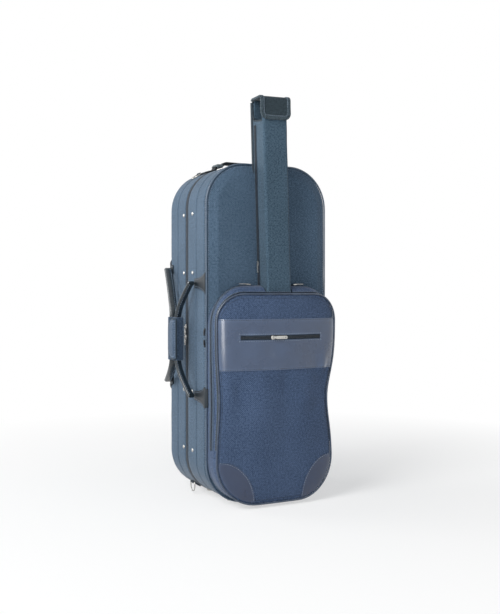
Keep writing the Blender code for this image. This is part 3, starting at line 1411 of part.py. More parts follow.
def quiver_flap(lean, middle_x):
    """A webbing flap from the back panel over the mouth and down the front."""
    low = TUBE_BACK_HIGH + FIT
    high = low + QUIVER_FLAP_THICKNESS
    inner_y = TUBE_FRONT_FACE - RUNNING_GAP
    outer_y = inner_y - QUIVER_FLAP_THICKNESS
    half = QUIVER_FLAP_WIDTH / 2
    hinge = pivot("quiver_flap_hinge", (middle_x, TUBE_BACK_FACE, low), lean)
    flap = box((middle_x - half, outer_y, low), (middle_x + half, TUBE_BACK_FACE, high))
    flap = part(flap, "quiver_flap", hinge, "webbing")
    bottom = high - QUIVER_FLAP_DROP
    radius = QUIVER_FLAP_CORNER
    corners = ((half - radius, 0.0, -1), (radius - half, math.pi / 2, -1))
    outline = [(middle_x - half, high), (middle_x - half, bottom + radius)]
    outline += [
        (middle_x - half + radius - radius * math.cos(turn), bottom + radius - radius * math.sin(turn))
        for turn in (step * math.pi / 2 / QUIVER_FLAP_STEPS for step in range(1, QUIVER_FLAP_STEPS + 1))
    ]
    outline += [
        (middle_x + half - radius + radius * math.sin(turn), bottom + radius - radius * math.cos(turn))
        for turn in (step * math.pi / 2 / QUIVER_FLAP_STEPS for step in range(QUIVER_FLAP_STEPS + 1))
    ]
    outline += [(middle_x + half, high)]
    join(flap, prism([outline], "XZ", outer_y, inner_y))


def quiver_slider(lean):
    """The slider of the zipper down the tube's left side, with a short hanging pull."""
    base_x = TUBE_LEFT - FIT
    top_x = base_x - QUIVER_SLIDER_THICKNESS
    y = TUBE_BACK_FACE - QUIVER_SLIDER_DEPTH
    level = QUIVER_SLIDER_LEVEL
    run = pivot("quiver_slider_run", (base_x, y, level), lean)
    outline = slider_outline(QUIVER_SLIDER_LENGTH, QUIVER_SLIDER_WIDTH, QUIVER_PULL_WIDTH, y, level)
    slider = part(prism([outline], "YZ", top_x, base_x), "quiver_zip_slider", run, "steel")
    pull_end = level - QUIVER_SLIDER_LENGTH / 2 - QUIVER_PULL_LENGTH
    pull = rounded_outline(QUIVER_PULL_WIDTH / 2, pull_end, level, QUIVER_PULL_WIDTH / 4, 2, y)
    tab = prism([pull], "YZ", top_x - PULL_THICKNESS, top_x + PULL_THICKNESS / 2)
    join(slider, tab)


# Interior


def smooth_half(shares, steps):
    """Points of a smooth curve through the given shares, which are kept."""
    points = [Vector(share) for share in shares]
    ends = [points[0] * 2 - points[1], *points, points[-1] * 2 - points[-2]]
    smooth = []
    for index in range(1, len(ends) - 2):
        a, b, c, d = ends[index - 1 : index + 3]
        for step in range(steps):
            t = step / steps
            smooth.append(
                0.5
                * (2 * b + (c - a) * t + (2 * a - 5 * b + 4 * c - d) * t**2 + (3 * b - a - 3 * c + d) * t**3)
            )
    return smooth + [points[-1]]


def violin_outline():
    """Outline of the recess for one violin with its neck and scroll."""
    half = smooth_half(VIOLIN_SHARES, VIOLIN_SMOOTHING)
    right = [(point.x * VIOLIN_HALF_LOWER_BOUT, VIOLIN_LOW + point.y * VIOLIN_BODY) for point in half]
    left = [(-x, z) for x, z in reversed(right[1:-1])]
    return right + left


def violin_bed(sign, parent):
    """A padded block that fills the back of a half, with a recess, a box well and a bow groove."""
    name, depth, edge_radius, edge_steps = side_of(sign)
    inset = WALL + FIT
    back = sign * (depth - inset)
    face = back - sign * BED_THICKNESS
    radius = max(edge_radius - WALL, FIT) + FIT
    block = open_box(case_outline(inset), back, face, radius, max(2, edge_steps - 2), True)
    bed = part(block, f"{name}_violin_bed", parent, "bed_velvet")
    recess = prism([violin_outline()], "XZ", *sorted((face - sign * OVERRUN, face + sign * RECESS_DEPTH)))
    well_outline = rounded_outline(
        WELL_WIDTH / 2, WELL_LOW, WELL_LOW + WELL_LENGTH, WELL_ROUNDING, 3, WELL_LEFT + WELL_WIDTH / 2
    )
    well = prism([well_outline], "XZ", *sorted((face - sign * OVERRUN, face + sign * WELL_DEPTH)))
    groove_outline = rounded_outline(
        BOW_GROOVE_WIDTH / 2, BOW_GROOVE_LOW, BOW_GROOVE_HIGH, BOW_GROOVE_WIDTH / 3, 3, BOW_GROOVE_X
    )
    groove = prism([groove_outline], "XZ", *sorted((face - sign * OVERRUN, face + sign * BOW_GROOVE_DEPTH)))
    cut(bed, recess, well, groove)
    return face


def interior(sign, parent):
    """The bed of one half with its strap, its lidded box and its bow spinner."""
    name = side_of(sign)[0]
    face = violin_bed(sign, parent)
    near = face - sign * FIT
    strap_far = near - sign * NECK_STRAP_THICKNESS
    strap_outline = rounded_outline(
        NECK_STRAP_HALF_LENGTH,
        NECK_STRAP_LEVEL - NECK_STRAP_WIDTH / 2,
        NECK_STRAP_LEVEL + NECK_STRAP_WIDTH / 2,
        NECK_STRAP_WIDTH / 4,
        2,
    )
    strap_piece = prism([strap_outline], "XZ", *sorted((near, strap_far)))
    part(strap_piece, f"{name}_neck_strap", parent, "webbing")
    lid_far = near - sign * LID_THICKNESS
    hinge = pivot(f"{name}_accessory_lid_hinge", (WELL_LEFT + WELL_WIDTH + LID_LAP, near, WELL_LOW), parent)
    lid_outline = rounded_outline(
        WELL_WIDTH / 2 + LID_LAP,
        WELL_LOW - LID_LAP,
        WELL_LOW + WELL_LENGTH + LID_LAP,
        WELL_ROUNDING,
        3,
        WELL_LEFT + WELL_WIDTH / 2,
    )
    part(prism([lid_outline], "XZ", *sorted((near, lid_far))), f"{name}_accessory_lid", hinge, "bed_velvet")
    turn = pivot(f"{name}_bow_spinner_turn", (SPINNER_X, near, SPINNER_LEVEL), parent)
    foot_place = (SPINNER_X, near, SPINNER_LEVEL)
    post = cylinder(SPINNER_POST_RADIUS, (0, -sign, 0), foot_place, SPINNER_POST_HEIGHT, SMALL_ROUND_STEPS)
    spinner = part(post, f"{name}_bow_spinner", turn, "dark_metal")
    bar_near = near - sign * (SPINNER_POST_HEIGHT - SPINNER_BAR_THICKNESS / 2)
    bar_far = bar_near - sign * SPINNER_BAR_THICKNESS
    bar_outline = rounded_outline(
        SPINNER_BAR_LENGTH / 2,
        SPINNER_LEVEL - SPINNER_BAR_WIDTH / 2,
        SPINNER_LEVEL + SPINNER_BAR_WIDTH / 2,
        SPINNER_BAR_WIDTH / 3,
        2,
        SPINNER_X,
    )
    join(spinner, prism([bar_outline], "XZ", *sorted((bar_near, bar_far))))


# Assembly


def stand_on_origin(root):
    """Move the case so that the world origin is the middle of the bottom of its bounding box."""
    graph = bpy.context.evaluated_depsgraph_get()
    low, high = Vector((math.inf,) * 3), Vector((-math.inf,) * 3)
    for obj in PARTS.objects:
        if obj.type != "MESH":
            continue
        evaluated = obj.evaluated_get(graph)
        for corner in evaluated.bound_box:
            place = evaluated.matrix_world @ Vector(corner)
            low = Vector(map(min, low, place))
            high = Vector(map(max, high, place))
    root.location = (-(low.x + high.x) / 2, -(low.y + high.y) / 2, -low.z)


def build():
    clear_scene()
    root = pivot("case_origin", (0, 0, 0))
    rear = pivot("rear_half", (0, 0, 0), root)
    front = pivot("case_hinge", (HINGE_X, 0, CASE_MIDDLE), root)
    for sign, parent in ((1, rear), (-1, front)):
        half_shell(sign, parent)
        zipper_tape(sign, parent)
        rivet_strip(sign, parent)
        interior(sign, parent)
        name = side_of(sign)[0]
        y = FRONT_FOOT_Y if sign < 0 else REAR_FOOT_Y
        foot(f"{name}_left_foot", -FOOT_SPREAD, y, parent)
        foot(f"{name}_right_foot", FOOT_SPREAD, y, parent)
    case_piping(front)
    hinges(rear, front)
    for label in SLIDER_LEVELS:
        main_slider(label, rear)
    for label in SLEEVE_SLIDER_LEVELS:
        sleeve_slider(label, front)
    handles(rear, front)
    grab_handle(rear)
    d_ring("top_d_ring", TOP_RING_ANGLE, TOP_RING_Y, 1, TOP_RING_DROOP, rear)
    d_ring("bottom_d_ring", BOTTOM_RING_ANGLE, BOTTOM_RING_Y, -1, None, rear)
    pocket(front)
    quiver(front)
    stand_on_origin(root)


build()
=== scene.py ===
"""Looks of the double violin case: woven fabric, vinyl, leather, zippers, stitching and hardware.

Every form is laid out in the case's own axes, in metres: x = 0 is the middle of the width, y = 0
the parting plane of the two halves with the front at -y, and z = 0 the floor. The datum moves each
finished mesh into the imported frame.
"""

import logging
import math
from collections.abc import Callable, Sequence
from dataclasses import dataclass, field
from enum import Enum

import bmesh
import bpy
import numpy as np
from mathutils import Matrix, Vector, noise


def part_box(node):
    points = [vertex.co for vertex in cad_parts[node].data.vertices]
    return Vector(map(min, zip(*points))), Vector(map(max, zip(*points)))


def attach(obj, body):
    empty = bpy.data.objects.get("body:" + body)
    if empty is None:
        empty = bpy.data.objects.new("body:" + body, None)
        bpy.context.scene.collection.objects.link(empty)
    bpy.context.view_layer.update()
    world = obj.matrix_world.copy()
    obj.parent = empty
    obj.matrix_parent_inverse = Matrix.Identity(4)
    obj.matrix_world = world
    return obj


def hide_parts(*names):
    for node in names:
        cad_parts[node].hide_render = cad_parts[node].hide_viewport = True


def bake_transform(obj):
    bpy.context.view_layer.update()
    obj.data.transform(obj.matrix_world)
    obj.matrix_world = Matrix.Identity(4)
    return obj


Point = tuple[float, float, float]
Flat = tuple[float, float]

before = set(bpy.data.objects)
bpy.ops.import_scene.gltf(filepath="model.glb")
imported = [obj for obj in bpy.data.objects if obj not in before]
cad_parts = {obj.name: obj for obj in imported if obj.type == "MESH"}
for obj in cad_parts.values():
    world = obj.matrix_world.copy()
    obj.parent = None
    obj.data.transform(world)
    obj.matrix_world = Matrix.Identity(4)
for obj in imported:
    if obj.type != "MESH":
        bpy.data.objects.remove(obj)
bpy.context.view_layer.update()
LOG = logging.getLogger("violin_case")

WEAVE_MAP = "weave"
# Points closer than this are one
MERGE = 0.00001
# Degrees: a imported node's faces within the first are joined, and its edges beyond the second rounded
LEVEL_WITHIN = 1.0
ROUNDED_FROM = 32.0

# Sizes shared by several sub-assemblies
HALF_WIDTH = 0.160
CASE_LOW = 0.007
CASE_HIGH = 0.807
CASE_MIDDLE = (CASE_LOW + CASE_HIGH) / 2
CORNER = 0.098
FRONT_FACE = -0.118
REAR_FACE = 0.128
REAR_ROUNDING = 0.032
RIM_GAP = 0.0005
LEFT_FACE = -HALF_WIDTH


class Speck(Enum):
    """What a row repeats."""

    STITCH = "stitch"
    TOOTH = "tooth"
    DOME = "dome"

    @property
    def fineness(self) -> int:
        """How finely its small body is divided."""
        return 3 if self is Speck.DOME else 2


@dataclass(frozen=True)
class Datum:
    """Where the case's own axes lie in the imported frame."""

    shift: Vector

    @classmethod
    def of_frame(cls) -> "Datum":
        """Read the case's middle, parting plane and floor from the rear shell's box."""
        low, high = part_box("rear_shell")
        return cls(Vector(((low.x + high.x) / 2, low.y - RIM_GAP, low.z - CASE_LOW)))


DATUM = Datum.of_frame()


# Colours and shader nodes


def linear(hex_colour: str) -> tuple[float, float, float, float]:
    """Turn an sRGB hex colour into a linear one.

    Args:
        hex_colour: six hex digits, such as "5b6d86".

    Returns:
        Linear red, green, blue and an alpha of 1.
    """
    shares = [int(hex_colour[start : start + 2], 16) / 255 for start in (0, 2, 4)]
    red, green, blue = (s / 12.92 if s <= 0.04045 else ((s + 0.055) / 1.055) ** 2.4 for s in shares)
    return red, green, blue, 1.0


def wire(tree: bpy.types.NodeTree, node: bpy.types.Node, sockets: dict) -> None:
    """Set or link a node's inputs.

    Args:
        tree: the tree that holds the node.
        node: the node.
        sockets: input name or number, with a value, an output, or a node whose first output is meant.
    """
    for key, value in sockets.items():
        if isinstance(value, bpy.types.Node):
            value = value.outputs[0]
        if isinstance(value, bpy.types.NodeSocket):
            tree.links.new(value, node.inputs[key])
        else:
            node.inputs[key].default_value = value


def add_node(
    tree: bpy.types.NodeTree, kind: str, sockets: dict | None = None, **settings: object
) -> bpy.types.Node:
    """Add a node with its settings and links.

    Args:
        tree: the tree that takes the node.
        kind: the node's type name.
        sockets: what goes into its inputs, as in wire.
        settings: properties of the node itself.

    Returns:
        The new node.
    """
    node = tree.nodes.new(kind)
    for name, value in settings.items():
        setattr(node, name, value)
    wire(tree, node, sockets or {})
    return node


class Finish:
    """A surface finish that makes its material once and hands out the same one after that."""

    made: dict[str, bpy.types.Material] = {}
    name: str

    def inputs(self, tree: bpy.types.NodeTree) -> dict:
        """Add the finish's own nodes and say what goes into the Principled shader's inputs."""
        raise NotImplementedError

    def material(self) -> bpy.types.Material:
        """Hand out the material, made round a Principled shader on the first call.

        Returns:
            The material.
        """
        if self.name not in Finish.made:
            material = Finish.made[self.name] = bpy.data.materials.new(self.name)
            material.use_nodes = True
            tree = material.node_tree
            tree.nodes.clear()
            shader = add_node(tree, "ShaderNodeBsdfPrincipled")
            add_node(tree, "ShaderNodeOutputMaterial", {"Surface": shader})
            wire(tree, shader, self.inputs(tree))
        return Finish.made[self.name]


@dataclass(frozen=True)
class Woven(Finish):
    """Plain-woven nylon. Threads are drawn coarser than real so that the weave shows at arm's length."""

    name: str
    dark: str
    light: str
    thread_mm: float = 1.5
    relief_mm: float = 0.18
    roughness: float = 0.72
    sheen: float = 0.18
    slack_mm: float = 0.8
    ribs: float = 0.0
    mirror: float = 0.18

    def inputs(self, tree: bpy.types.NodeTree) -> dict:
        """Make crossing threads, a soft fade of tone, loose fuzz and a little slackness.

        Args:
            tree: the material's tree.

        Returns:
            What goes into the Principled shader's inputs.
        """
        flat = add_node(tree, "ShaderNodeUVMap", uv_map=WEAVE_MAP)
        place = add_node(tree, "ShaderNodeTexCoord").outputs["Object"]
        split = add_node(tree, "ShaderNodeSeparateXYZ", {0: flat})
        turn = 2 * math.pi / (self.thread_mm / 1000)
        waves = []
        for index in (0, 1):
            angle = add_node(tree, "ShaderNodeMath", {0: split.outputs[index], 1: turn}, operation="MULTIPLY")
            waves.append(add_node(tree, "ShaderNodeMath", {0: angle}, operation="SINE"))
        cross = add_node(tree, "ShaderNodeMath", {0: waves[0], 1: waves[1]}, operation="MULTIPLY")
        rib = add_node(
            tree, "ShaderNodeMath", {0: waves[1], 1: self.ribs, 2: cross}, operation="MULTIPLY_ADD"
        )
        thread = add_node(tree, "ShaderNodeMapRange", {0: rib, 1: -1.0 - self.ribs, 2: 1.0 + self.ribs})
        fuzz = add_node(
            tree, "ShaderNodeTexNoise", {"Vector": flat, "Scale": 265.0, "Detail": 2.0, "Roughness": 0.6},
            noise_dimensions="2D"
        )
        fade = add_node(
            tree, "ShaderNodeTexNoise", {"Vector": place, "Scale": 9.0, "Detail": 4.0, "Roughness": 0.6}
        )
        mottle = add_node(tree, "ShaderNodeMath", {0: fuzz, 1: 2.0, 2: thread}, operation="MULTIPLY_ADD")
        tone = add_node(tree, "ShaderNodeMath", {0: fade, 1: 0.6, 2: mottle}, operation="MULTIPLY_ADD")
        share = add_node(tree, "ShaderNodeMapRange", {0: tone, 1: 1.08, 2: 2.48})
        colour = add_node(
            tree, "ShaderNodeMix", {"Factor": share, 6: linear(self.dark), 7: linear(self.light)},
            data_type="RGBA"
        )
        slack = add_node(
            tree, "ShaderNodeTexNoise", {"Vector": place, "Scale": 16.0, "Detail": 2.0, "Distortion": 0.6}
        )
        folds = add_node(
            tree, "ShaderNodeBump", {"Strength": 0.5, "Distance": self.slack_mm / 1000, "Height": slack}
        )
        relief = add_node(
            tree, "ShaderNodeBump",
            {"Strength": 0.7, "Distance": self.relief_mm / 1000, "Height": mottle, "Normal": folds}
        )
        rough = add_node(
            tree, "ShaderNodeMapRange", {0: fuzz, 3: self.roughness - 0.08, 4: self.roughness + 0.12}
        )
        return {
            "Base Color": colour.outputs[2], "Roughness": rough, "Normal": relief,
            "Specular IOR Level": self.mirror, "Sheen Weight": self.sheen, "Sheen Roughness": 0.45,
            "IOR": 1.53
        }


@dataclass(frozen=True)
class Grained(Finish):
    """Skin with pebbled grain, such as vinyl or leatherette, a little paler where it is rubbed."""

    name: str
    base: str
    worn: str
    grain_mm: float
    relief_mm: float
    roughness: float
    coat: float = 0.0

    def inputs(self, tree: bpy.types.NodeTree) -> dict:
        """Make pebbles of the grain's size, worn edges and a patchy gloss.

        Args:
            tree: the material's tree.

        Returns:
            What goes into the Principled shader's inputs.
        """
        place = add_node(tree, "ShaderNodeTexCoord").outputs["Object"]
        pebbles = add_node(
            tree, "ShaderNodeTexVoronoi", {"Vector": place, "Scale": 1000 / self.grain_mm, "Randomness": 0.9},
            feature="SMOOTH_F1"
        )
        patches = add_node(
            tree, "ShaderNodeTexNoise", {"Vector": place, "Scale": 22.0, "Detail": 5.0, "Roughness": 0.6}
        )
        edges = add_node(tree, "ShaderNodeNewGeometry")
        rub = add_node(tree, "ShaderNodeMapRange", {0: edges.outputs["Pointiness"], 1: 0.51, 2: 0.60})
        wear = add_node(tree, "ShaderNodeMath", {0: patches, 1: rub}, operation="MULTIPLY")
        tone = add_node(
            tree, "ShaderNodeMath", {0: patches, 1: 0.35, 2: wear}, operation="MULTIPLY_ADD", use_clamp=True
        )
        colour = add_node(
            tree, "ShaderNodeMix", {"Factor": tone, 6: linear(self.base), 7: linear(self.worn)},
            data_type="RGBA"
        )
        gloss = add_node(
            tree, "ShaderNodeMapRange",
            {0: patches, 1: 0.3, 2: 0.7, 3: self.roughness - 0.06, 4: self.roughness + 0.09}
        )
        relief = add_node(
            tree, "ShaderNodeBump", {"Strength": 0.55, "Distance": self.relief_mm / 1000, "Height": pebbles},
            invert=True
        )
        return {
            "Base Color": colour.outputs[2], "Roughness": gloss, "Normal": relief, "IOR": 1.52,
            "Specular IOR Level": 0.35, "Coat Weight": self.coat, "Coat Roughness": 0.16
        }


@dataclass(frozen=True)
class Plated(Finish):
    """Cast and plated metal: fine tumbling marks and a faint haze of duller tone at random places."""

    name: str
    bright: str
    dull: str
    roughness: float
    metallic: float = 1.0

    def inputs(self, tree: bpy.types.NodeTree) -> dict:
        """Make fine scratches and a dulled tone.

        Args:
            tree: the material's tree.

        Returns:
            What goes into the Principled shader's inputs.
        """
        place = add_node(tree, "ShaderNodeTexCoord").outputs["Object"]
        marks = add_node(
            tree, "ShaderNodeTexNoise", {"Vector": place, "Scale": 700.0, "Detail": 4.0, "Distortion": 1.5}
        )
        haze = add_node(tree, "ShaderNodeTexNoise", {"Vector": place, "Scale": 90.0, "Detail": 3.0})
        colour = add_node(
            tree, "ShaderNodeMix", {"Factor": haze, 6: linear(self.bright), 7: linear(self.dull)},
            data_type="RGBA"
        )
        rough = add_node(
            tree, "ShaderNodeMapRange", {0: marks, 3: self.roughness - 0.05, 4: self.roughness + 0.12}
        )
        relief = add_node(tree, "ShaderNodeBump", {"Strength": 0.25, "Distance": 0.00005, "Height": marks})
        return {
            "Base Color": colour.outputs[2], "Roughness": rough, "Normal": relief, "Metallic": self.metallic
        }


@dataclass(frozen=True)
class Plush(Finish):
    """Short-pile velvet: clumped pile that catches light where it leans."""

    name: str
    dark: str
    light: str
    clump_mm: float = 5.0

    def inputs(self, tree: bpy.types.NodeTree) -> dict:
        """Make clumps of pile, fine fibre ends and a strong sheen.

        Args:
            tree: the material's tree.

        Returns:
            What goes into the Principled shader's inputs.
        """
        place = add_node(tree, "ShaderNodeTexCoord").outputs["Object"]
        clumps = add_node(
            tree, "ShaderNodeTexNoise", {"Vector": place, "Scale": 1000 / self.clump_mm, "Detail": 4.0}
        )
        fibres = add_node(tree, "ShaderNodeTexNoise", {"Vector": place, "Scale": 1400.0, "Detail": 1.0})
        tone = add_node(tree, "ShaderNodeMapRange", {0: clumps, 1: 0.3, 2: 0.7})
        colour = add_node(
            tree, "ShaderNodeMix", {"Factor": tone, 6: linear(self.dark), 7: linear(self.light)},
            data_type="RGBA"
        )
        height = add_node(tree, "ShaderNodeMath", {0: fibres, 1: 0.4, 2: clumps}, operation="MULTIPLY_ADD")
        relief = add_node(tree, "ShaderNodeBump", {"Strength": 0.6, "Distance": 0.0006, "Height": height})
        return {
            "Base Color": colour.outputs[2], "Normal": relief, "Roughness": 0.92, "Sheen Weight": 0.7,
            "Sheen Roughness": 0.35, "Sheen Tint": linear(self.light)
        }


@dataclass(frozen=True)
class Spun(Finish):
    """Twisted sewing thread or moulded nylon coil, with a fine slanting twist."""

    name: str
    base: str
    shade: str
    roughness: float

    def inputs(self, tree: bpy.types.NodeTree) -> dict:
        """Make bands of twist across the piece.

        Args:
            tree: the material's tree.

        Returns:
            What goes into the Principled shader's inputs.
        """
        place = add_node(tree, "ShaderNodeTexCoord").outputs["Object"]
        twist = add_node(
            tree, "ShaderNodeTexWave", {"Vector": place, "Scale": 320.0, "Distortion": 2.0},
            bands_direction="DIAGONAL"
        )
        colour = add_node(
            tree, "ShaderNodeMix",
            {"Factor": twist.outputs["Fac"], 6: linear(self.base), 7: linear(self.shade)}, data_type="RGBA"
        )
        relief = add_node(
            tree, "ShaderNodeBump", {"Strength": 0.3, "Distance": 0.0001, "Height": twist.outputs["Fac"]}
        )
        return {"Base Color": colour.outputs[2], "Normal": relief, "Roughness": self.roughness}


# Heavy nylon canvas on the two shells, a greyed blue.
CASE_CANVAS = Woven("case nylon canvas", "253a4b", "61788f", thread_mm=4.4, relief_mm=0.3)
# Softer padded nylon of the front pocket, a purer blue.
POCKET_NYLON = Woven("padded pocket nylon", "1f314b", "5b6f8f", thread_mm=4.4, relief_mm=0.35, slack_mm=1.6)
# The same cloth in a darker run on the bow tube.
TUBE_NYLON = Woven("bow tube nylon", "1f323f", "587083", thread_mm=4.0, slack_mm=1.2)
# Darker copy of the tube's finish, with closer threads, on the bow tube's left face where its zipper runs.
TUBE_SIDE = Woven("bow tube side cloth", "14212b", "304250", thread_mm=3.0, slack_mm=1.2)
# Ribbed polyester webbing: tabs and neck straps.
WEBBING = Woven("ribbed polyester webbing", "18222a", "3f4c55", thread_mm=2.2, relief_mm=0.4, ribs=0.9)
# The same webbing in black on the grab handle.
BLACK_WEBBING = Woven("black handle webbing", "0a1014", "20282e", thread_mm=2.2, relief_mm=0.4, ribs=0.9)
# Coarse knurled tape round the flap.
KNURLED_TAPE = Woven("knurled binding tape", "080f14", "5e6f79", thread_mm=5.6, relief_mm=0.9, slack_mm=1.2)
# Stiffened cloth of the bow tube's flap.
FLAP_CANVAS = Woven("flap canvas", "182329", "414f57", thread_mm=3.0)
# Folded binding tape on raw edges.
BINDING = Woven("grosgrain binding", "162028", "3a4852", thread_mm=1.8, relief_mm=0.3, ribs=0.9)
# Padded nylon of the handle wrap.
WRAP_NYLON = Woven("padded handle wrap nylon", "26374a", "5e7187", thread_mm=3.0, slack_mm=1.2)
# Woven zipper tape, close and dark.
TAPE = Woven("zipper tape", "1a242f", "35424f", thread_mm=1.4, relief_mm=0.12)
# Lighter tape of the pocket's zipper.
POCKET_TAPE = Woven("pocket zipper tape", "26374c", "56697f", thread_mm=1.4, relief_mm=0.12)
# Brushed nylon inside the shells.
LINING = Woven("brushed nylon lining", "141b2b", "26314a", thread_mm=1.4, relief_mm=0.1)
# Semi-gloss sheet vinyl on the pocket.
BAND_VINYL = Grained("calendered vinyl", "2e4260", "546989", 1.6, 0.08, 0.28, coat=1.0)
# Softer skin of the two corner patches.
PATCH_VINYL = Grained("patch vinyl", "1a2c4c", "415575", 1.6, 0.10, 0.32, coat=0.9)
# Extruded soft vinyl cord round the front panel.
PIPING_VINYL = Grained("extruded vinyl piping", "3d4f62", "66788b", 1.2, 0.05, 0.30, coat=0.2)
# Darker, glossier cord round the pocket.
POCKET_PIPING = Grained("glossy vinyl pocket piping", "1f2d41", "586981", 1.2, 0.05, 0.24, coat=0.5)
# Glazed leatherette on the carrying handles.
STRAP_LEATHER = Grained("glazed leatherette", "121b21", "3c4a53", 1.4, 0.12, 0.26, coat=0.6)
# Unglazed leatherette of the fans that hold them.
ANCHOR_LEATHER = Grained("matt leatherette", "0f161c", "2b363e", 1.4, 0.16, 0.50)
# Grey rubbed leatherette on the grab handle's ends.
CAP_LEATHER = Grained("rubbed leatherette", "465258", "7c868b", 1.4, 0.14, 0.45)
# Nickel on zinc castings and rings.
NICKEL = Plated("nickel-plated zinc", "d6d5d1", "a3a29e", 0.24)
HINGE_STEEL = Plated("zinc-plated steel", "a9acae", "84878a", 0.34)
BLACK_LACQUER = Plated("black lacquered zinc", "1d1f22", "2c2f33", 0.38, metallic=0.6)
VELVET = Plush("navy plush velvet", "0f1730", "2b3860")
THREAD = Spun("bonded sewing thread", "8c9aab", "66768a", 0.6)
DARK_THREAD = Spun("dark sewing thread", "2a343f", "1c242d", 0.6)
COIL = Spun("nylon zipper coil", "2b333c", "161b21", 0.35)


# Forms


@dataclass
class Form:
    """Points and faces that grow into one mesh. A face's group picks its material."""

    points: list[Point] = field(default_factory=list)
    faces: list[tuple[int, ...]] = field(default_factory=list)
    groups: list[int] = field(default_factory=list)

    def add(
        self, points: Sequence[Sequence[float]], faces: Sequence[Sequence[int]], group: int = 0
    ) -> "Form":
        """Take in more points and the faces between them.

        Args:
            points: new points.
            faces: faces that count from the first new point.
            group: number of the material.

        Returns:
            This form.
        """
        start = len(self.points)
        self.points += [tuple(float(value) for value in point) for point in points]
        self.faces += [tuple(start + index for index in face) for face in faces]
        self.groups += [group] * len(faces)
        return self

    def take(self, other: "Form", group: int = 0) -> "Form":
        """Take in another form under one material."""
        return self.add(other.points, other.faces, group)

    def maker(self, merge: bool = True) -> bmesh.types.BMesh:
        """Start a mesh from the form.

        Args:
            merge: whether points that coincide become one.

        Returns:
            The mesh in the making.
        """
        maker = bmesh.new()
        corners = [maker.verts.new(point) for point in self.points]
        for face, group in zip(self.faces, self.groups):
            maker.faces.new([corners[index] for index in face]).material_index = group
        if merge:
            bmesh.ops.remove_doubles(maker, verts=maker.verts, dist=MERGE)
        return maker

    def moved(self, matrix: Matrix) -> "Form":
        """Return the same form carried by a matrix."""
        points = [tuple(matrix @ Vector(point)) for point in self.points]
        return Form(points, list(self.faces), list(self.groups))


def loft(
    rings: Sequence[Sequence[Point]], closed: bool = True, caps: tuple[bool, bool] = (True, True),
    joined: bool = False
) -> Form:
    """Skin over rings of equally many points.

    Args:
        rings: the rings in order.
        closed: whether each ring closes on itself.
        caps: whether the first and the last ring get a face.
        joined: whether the last ring meets the first.

    Returns:
        The skin.
    """
    count = len(rings[0])
    points = [point for ring in rings for point in ring]
    faces = []
    around = range(count if closed else count - 1)
    for level in range(len(rings) if joined else len(rings) - 1):
        near, far = level * count, (level + 1) % len(rings) * count
        faces += [(near + i, near + (i + 1) % count, far + (i + 1) % count, far + i) for i in around]
    if caps[0] and not joined:
        faces.append(tuple(range(count))[::-1])
    if caps[1] and not joined:
        faces.append(tuple(range(len(points) - count, len(points))))
    return Form().add(points, faces)


def sheet(rows: Sequence[Sequence[Point]], turned: bool = False) -> Form:
    """Skin over rows of equally many points, open all round.

    Args:
        rows: the rows in order.
        turned: whether its faces look the other way.

    Returns:
        The skin.
    """
    form = loft(rows, closed=False, caps=(False, False))
    if turned:
        form.faces = [(face[0], *face[:0:-1]) for face in form.faces]
    return form


def arc(centre: Flat, radius: float, turns: Sequence[float]) -> list[Flat]:
    """Points at the given turns round a centre."""
    return [(centre[0] + radius * math.cos(turn), centre[1] + radius * math.sin(turn)) for turn in turns]


def shrunk(ring: Sequence[Flat], share: float, middle: Flat) -> list[Flat]:
    """An outline at a share of its size round a middle."""
    return [(middle[0] + (a - middle[0]) * share, middle[1] + (b - middle[1]) * share) for a, b in ring]


def out_of(ring: Sequence[Flat], index: int) -> Vector:
    """Direction out of an outline in front view at one of its points."""
    before, after = ring[index - 1], ring[(index + 1) % len(ring)]
    return Vector((after[1] - before[1], 0, before[0] - after[0])).normalized()


def rounded(
    half_width: float, low: float, high: float, radius: float, steps: int, middle: float = 0.0,
    runs: tuple[int, int] = (1, 1), top_radius: float | None = None
) -> list[Flat]:
    """Outline of a rounded rectangle, anticlockwise from its lower right corner.

    Args:
        half_width: half its width.
        low: its lower side.
        high: its upper side.
        radius: radius of its corners.
        steps: segments of each corner.
        middle: its middle line.
        runs: segments of each upright and each level side.
        top_radius: radius of the upper corners, where it differs.

    Returns:
        The outline's points.
    """
    upper = radius if top_radius is None else top_radius
    quarter = math.pi / 2
    corners = (
        (middle + half_width - radius, low + radius, radius, -quarter),
        (middle + half_width - upper, high - upper, upper, 0.0),
        (middle - half_width + upper, high - upper, upper, quarter),
        (middle - half_width + radius, low + radius, radius, math.pi)
    )
    arcs = [
        arc((x, z), bow, [start + step * quarter / steps for step in range(steps + 1)])
        for x, z, bow, start in corners
    ]
    ring = []
    for index, bend in enumerate(arcs):
        (x, z), (next_x, next_z) = bend[-1], arcs[(index + 1) % 4][0]
        count = runs[index % 2]
        ring += bend
        ring += [
            (x + (next_x - x) * step / count, z + (next_z - z) * step / count) for step in range(1, count)
        ]
    return ring


def sweep(
    path: Sequence[Point], section: Callable[[float], Sequence[Flat]],
    up: Sequence[float] | Callable[[int], Sequence[float]], closed: bool = False
) -> Form:
    """Draw a section along a path.

    Args:
        path: the path's points.
        section: gives the section at a share of the path. Its first axis lies along up.
        up: the direction that the section's first axis keeps to, or one for each point.
        closed: whether the path closes.

    Returns:
        The swept form, capped where it ends.
    """
    line = [Vector(point) for point in path]
    rings = []
    for index, point in enumerate(line):
        if closed:
            ahead, behind = line[(index + 1) % len(line)], line[index - 1]
        else:
            ahead, behind = line[min(index + 1, len(line) - 1)], line[max(index - 1, 0)]
        along = (ahead - behind).normalized()
        wish = Vector(up(index) if callable(up) else up)
        normal = (wish - along * wish.dot(along)).normalized()
        side = along.cross(normal)
        share = index / max(1, len(line) - 1)
        rings.append([tuple(point + normal * a + side * b) for a, b in section(share)])
    return loft(rings, caps=(not closed, not closed), joined=closed)


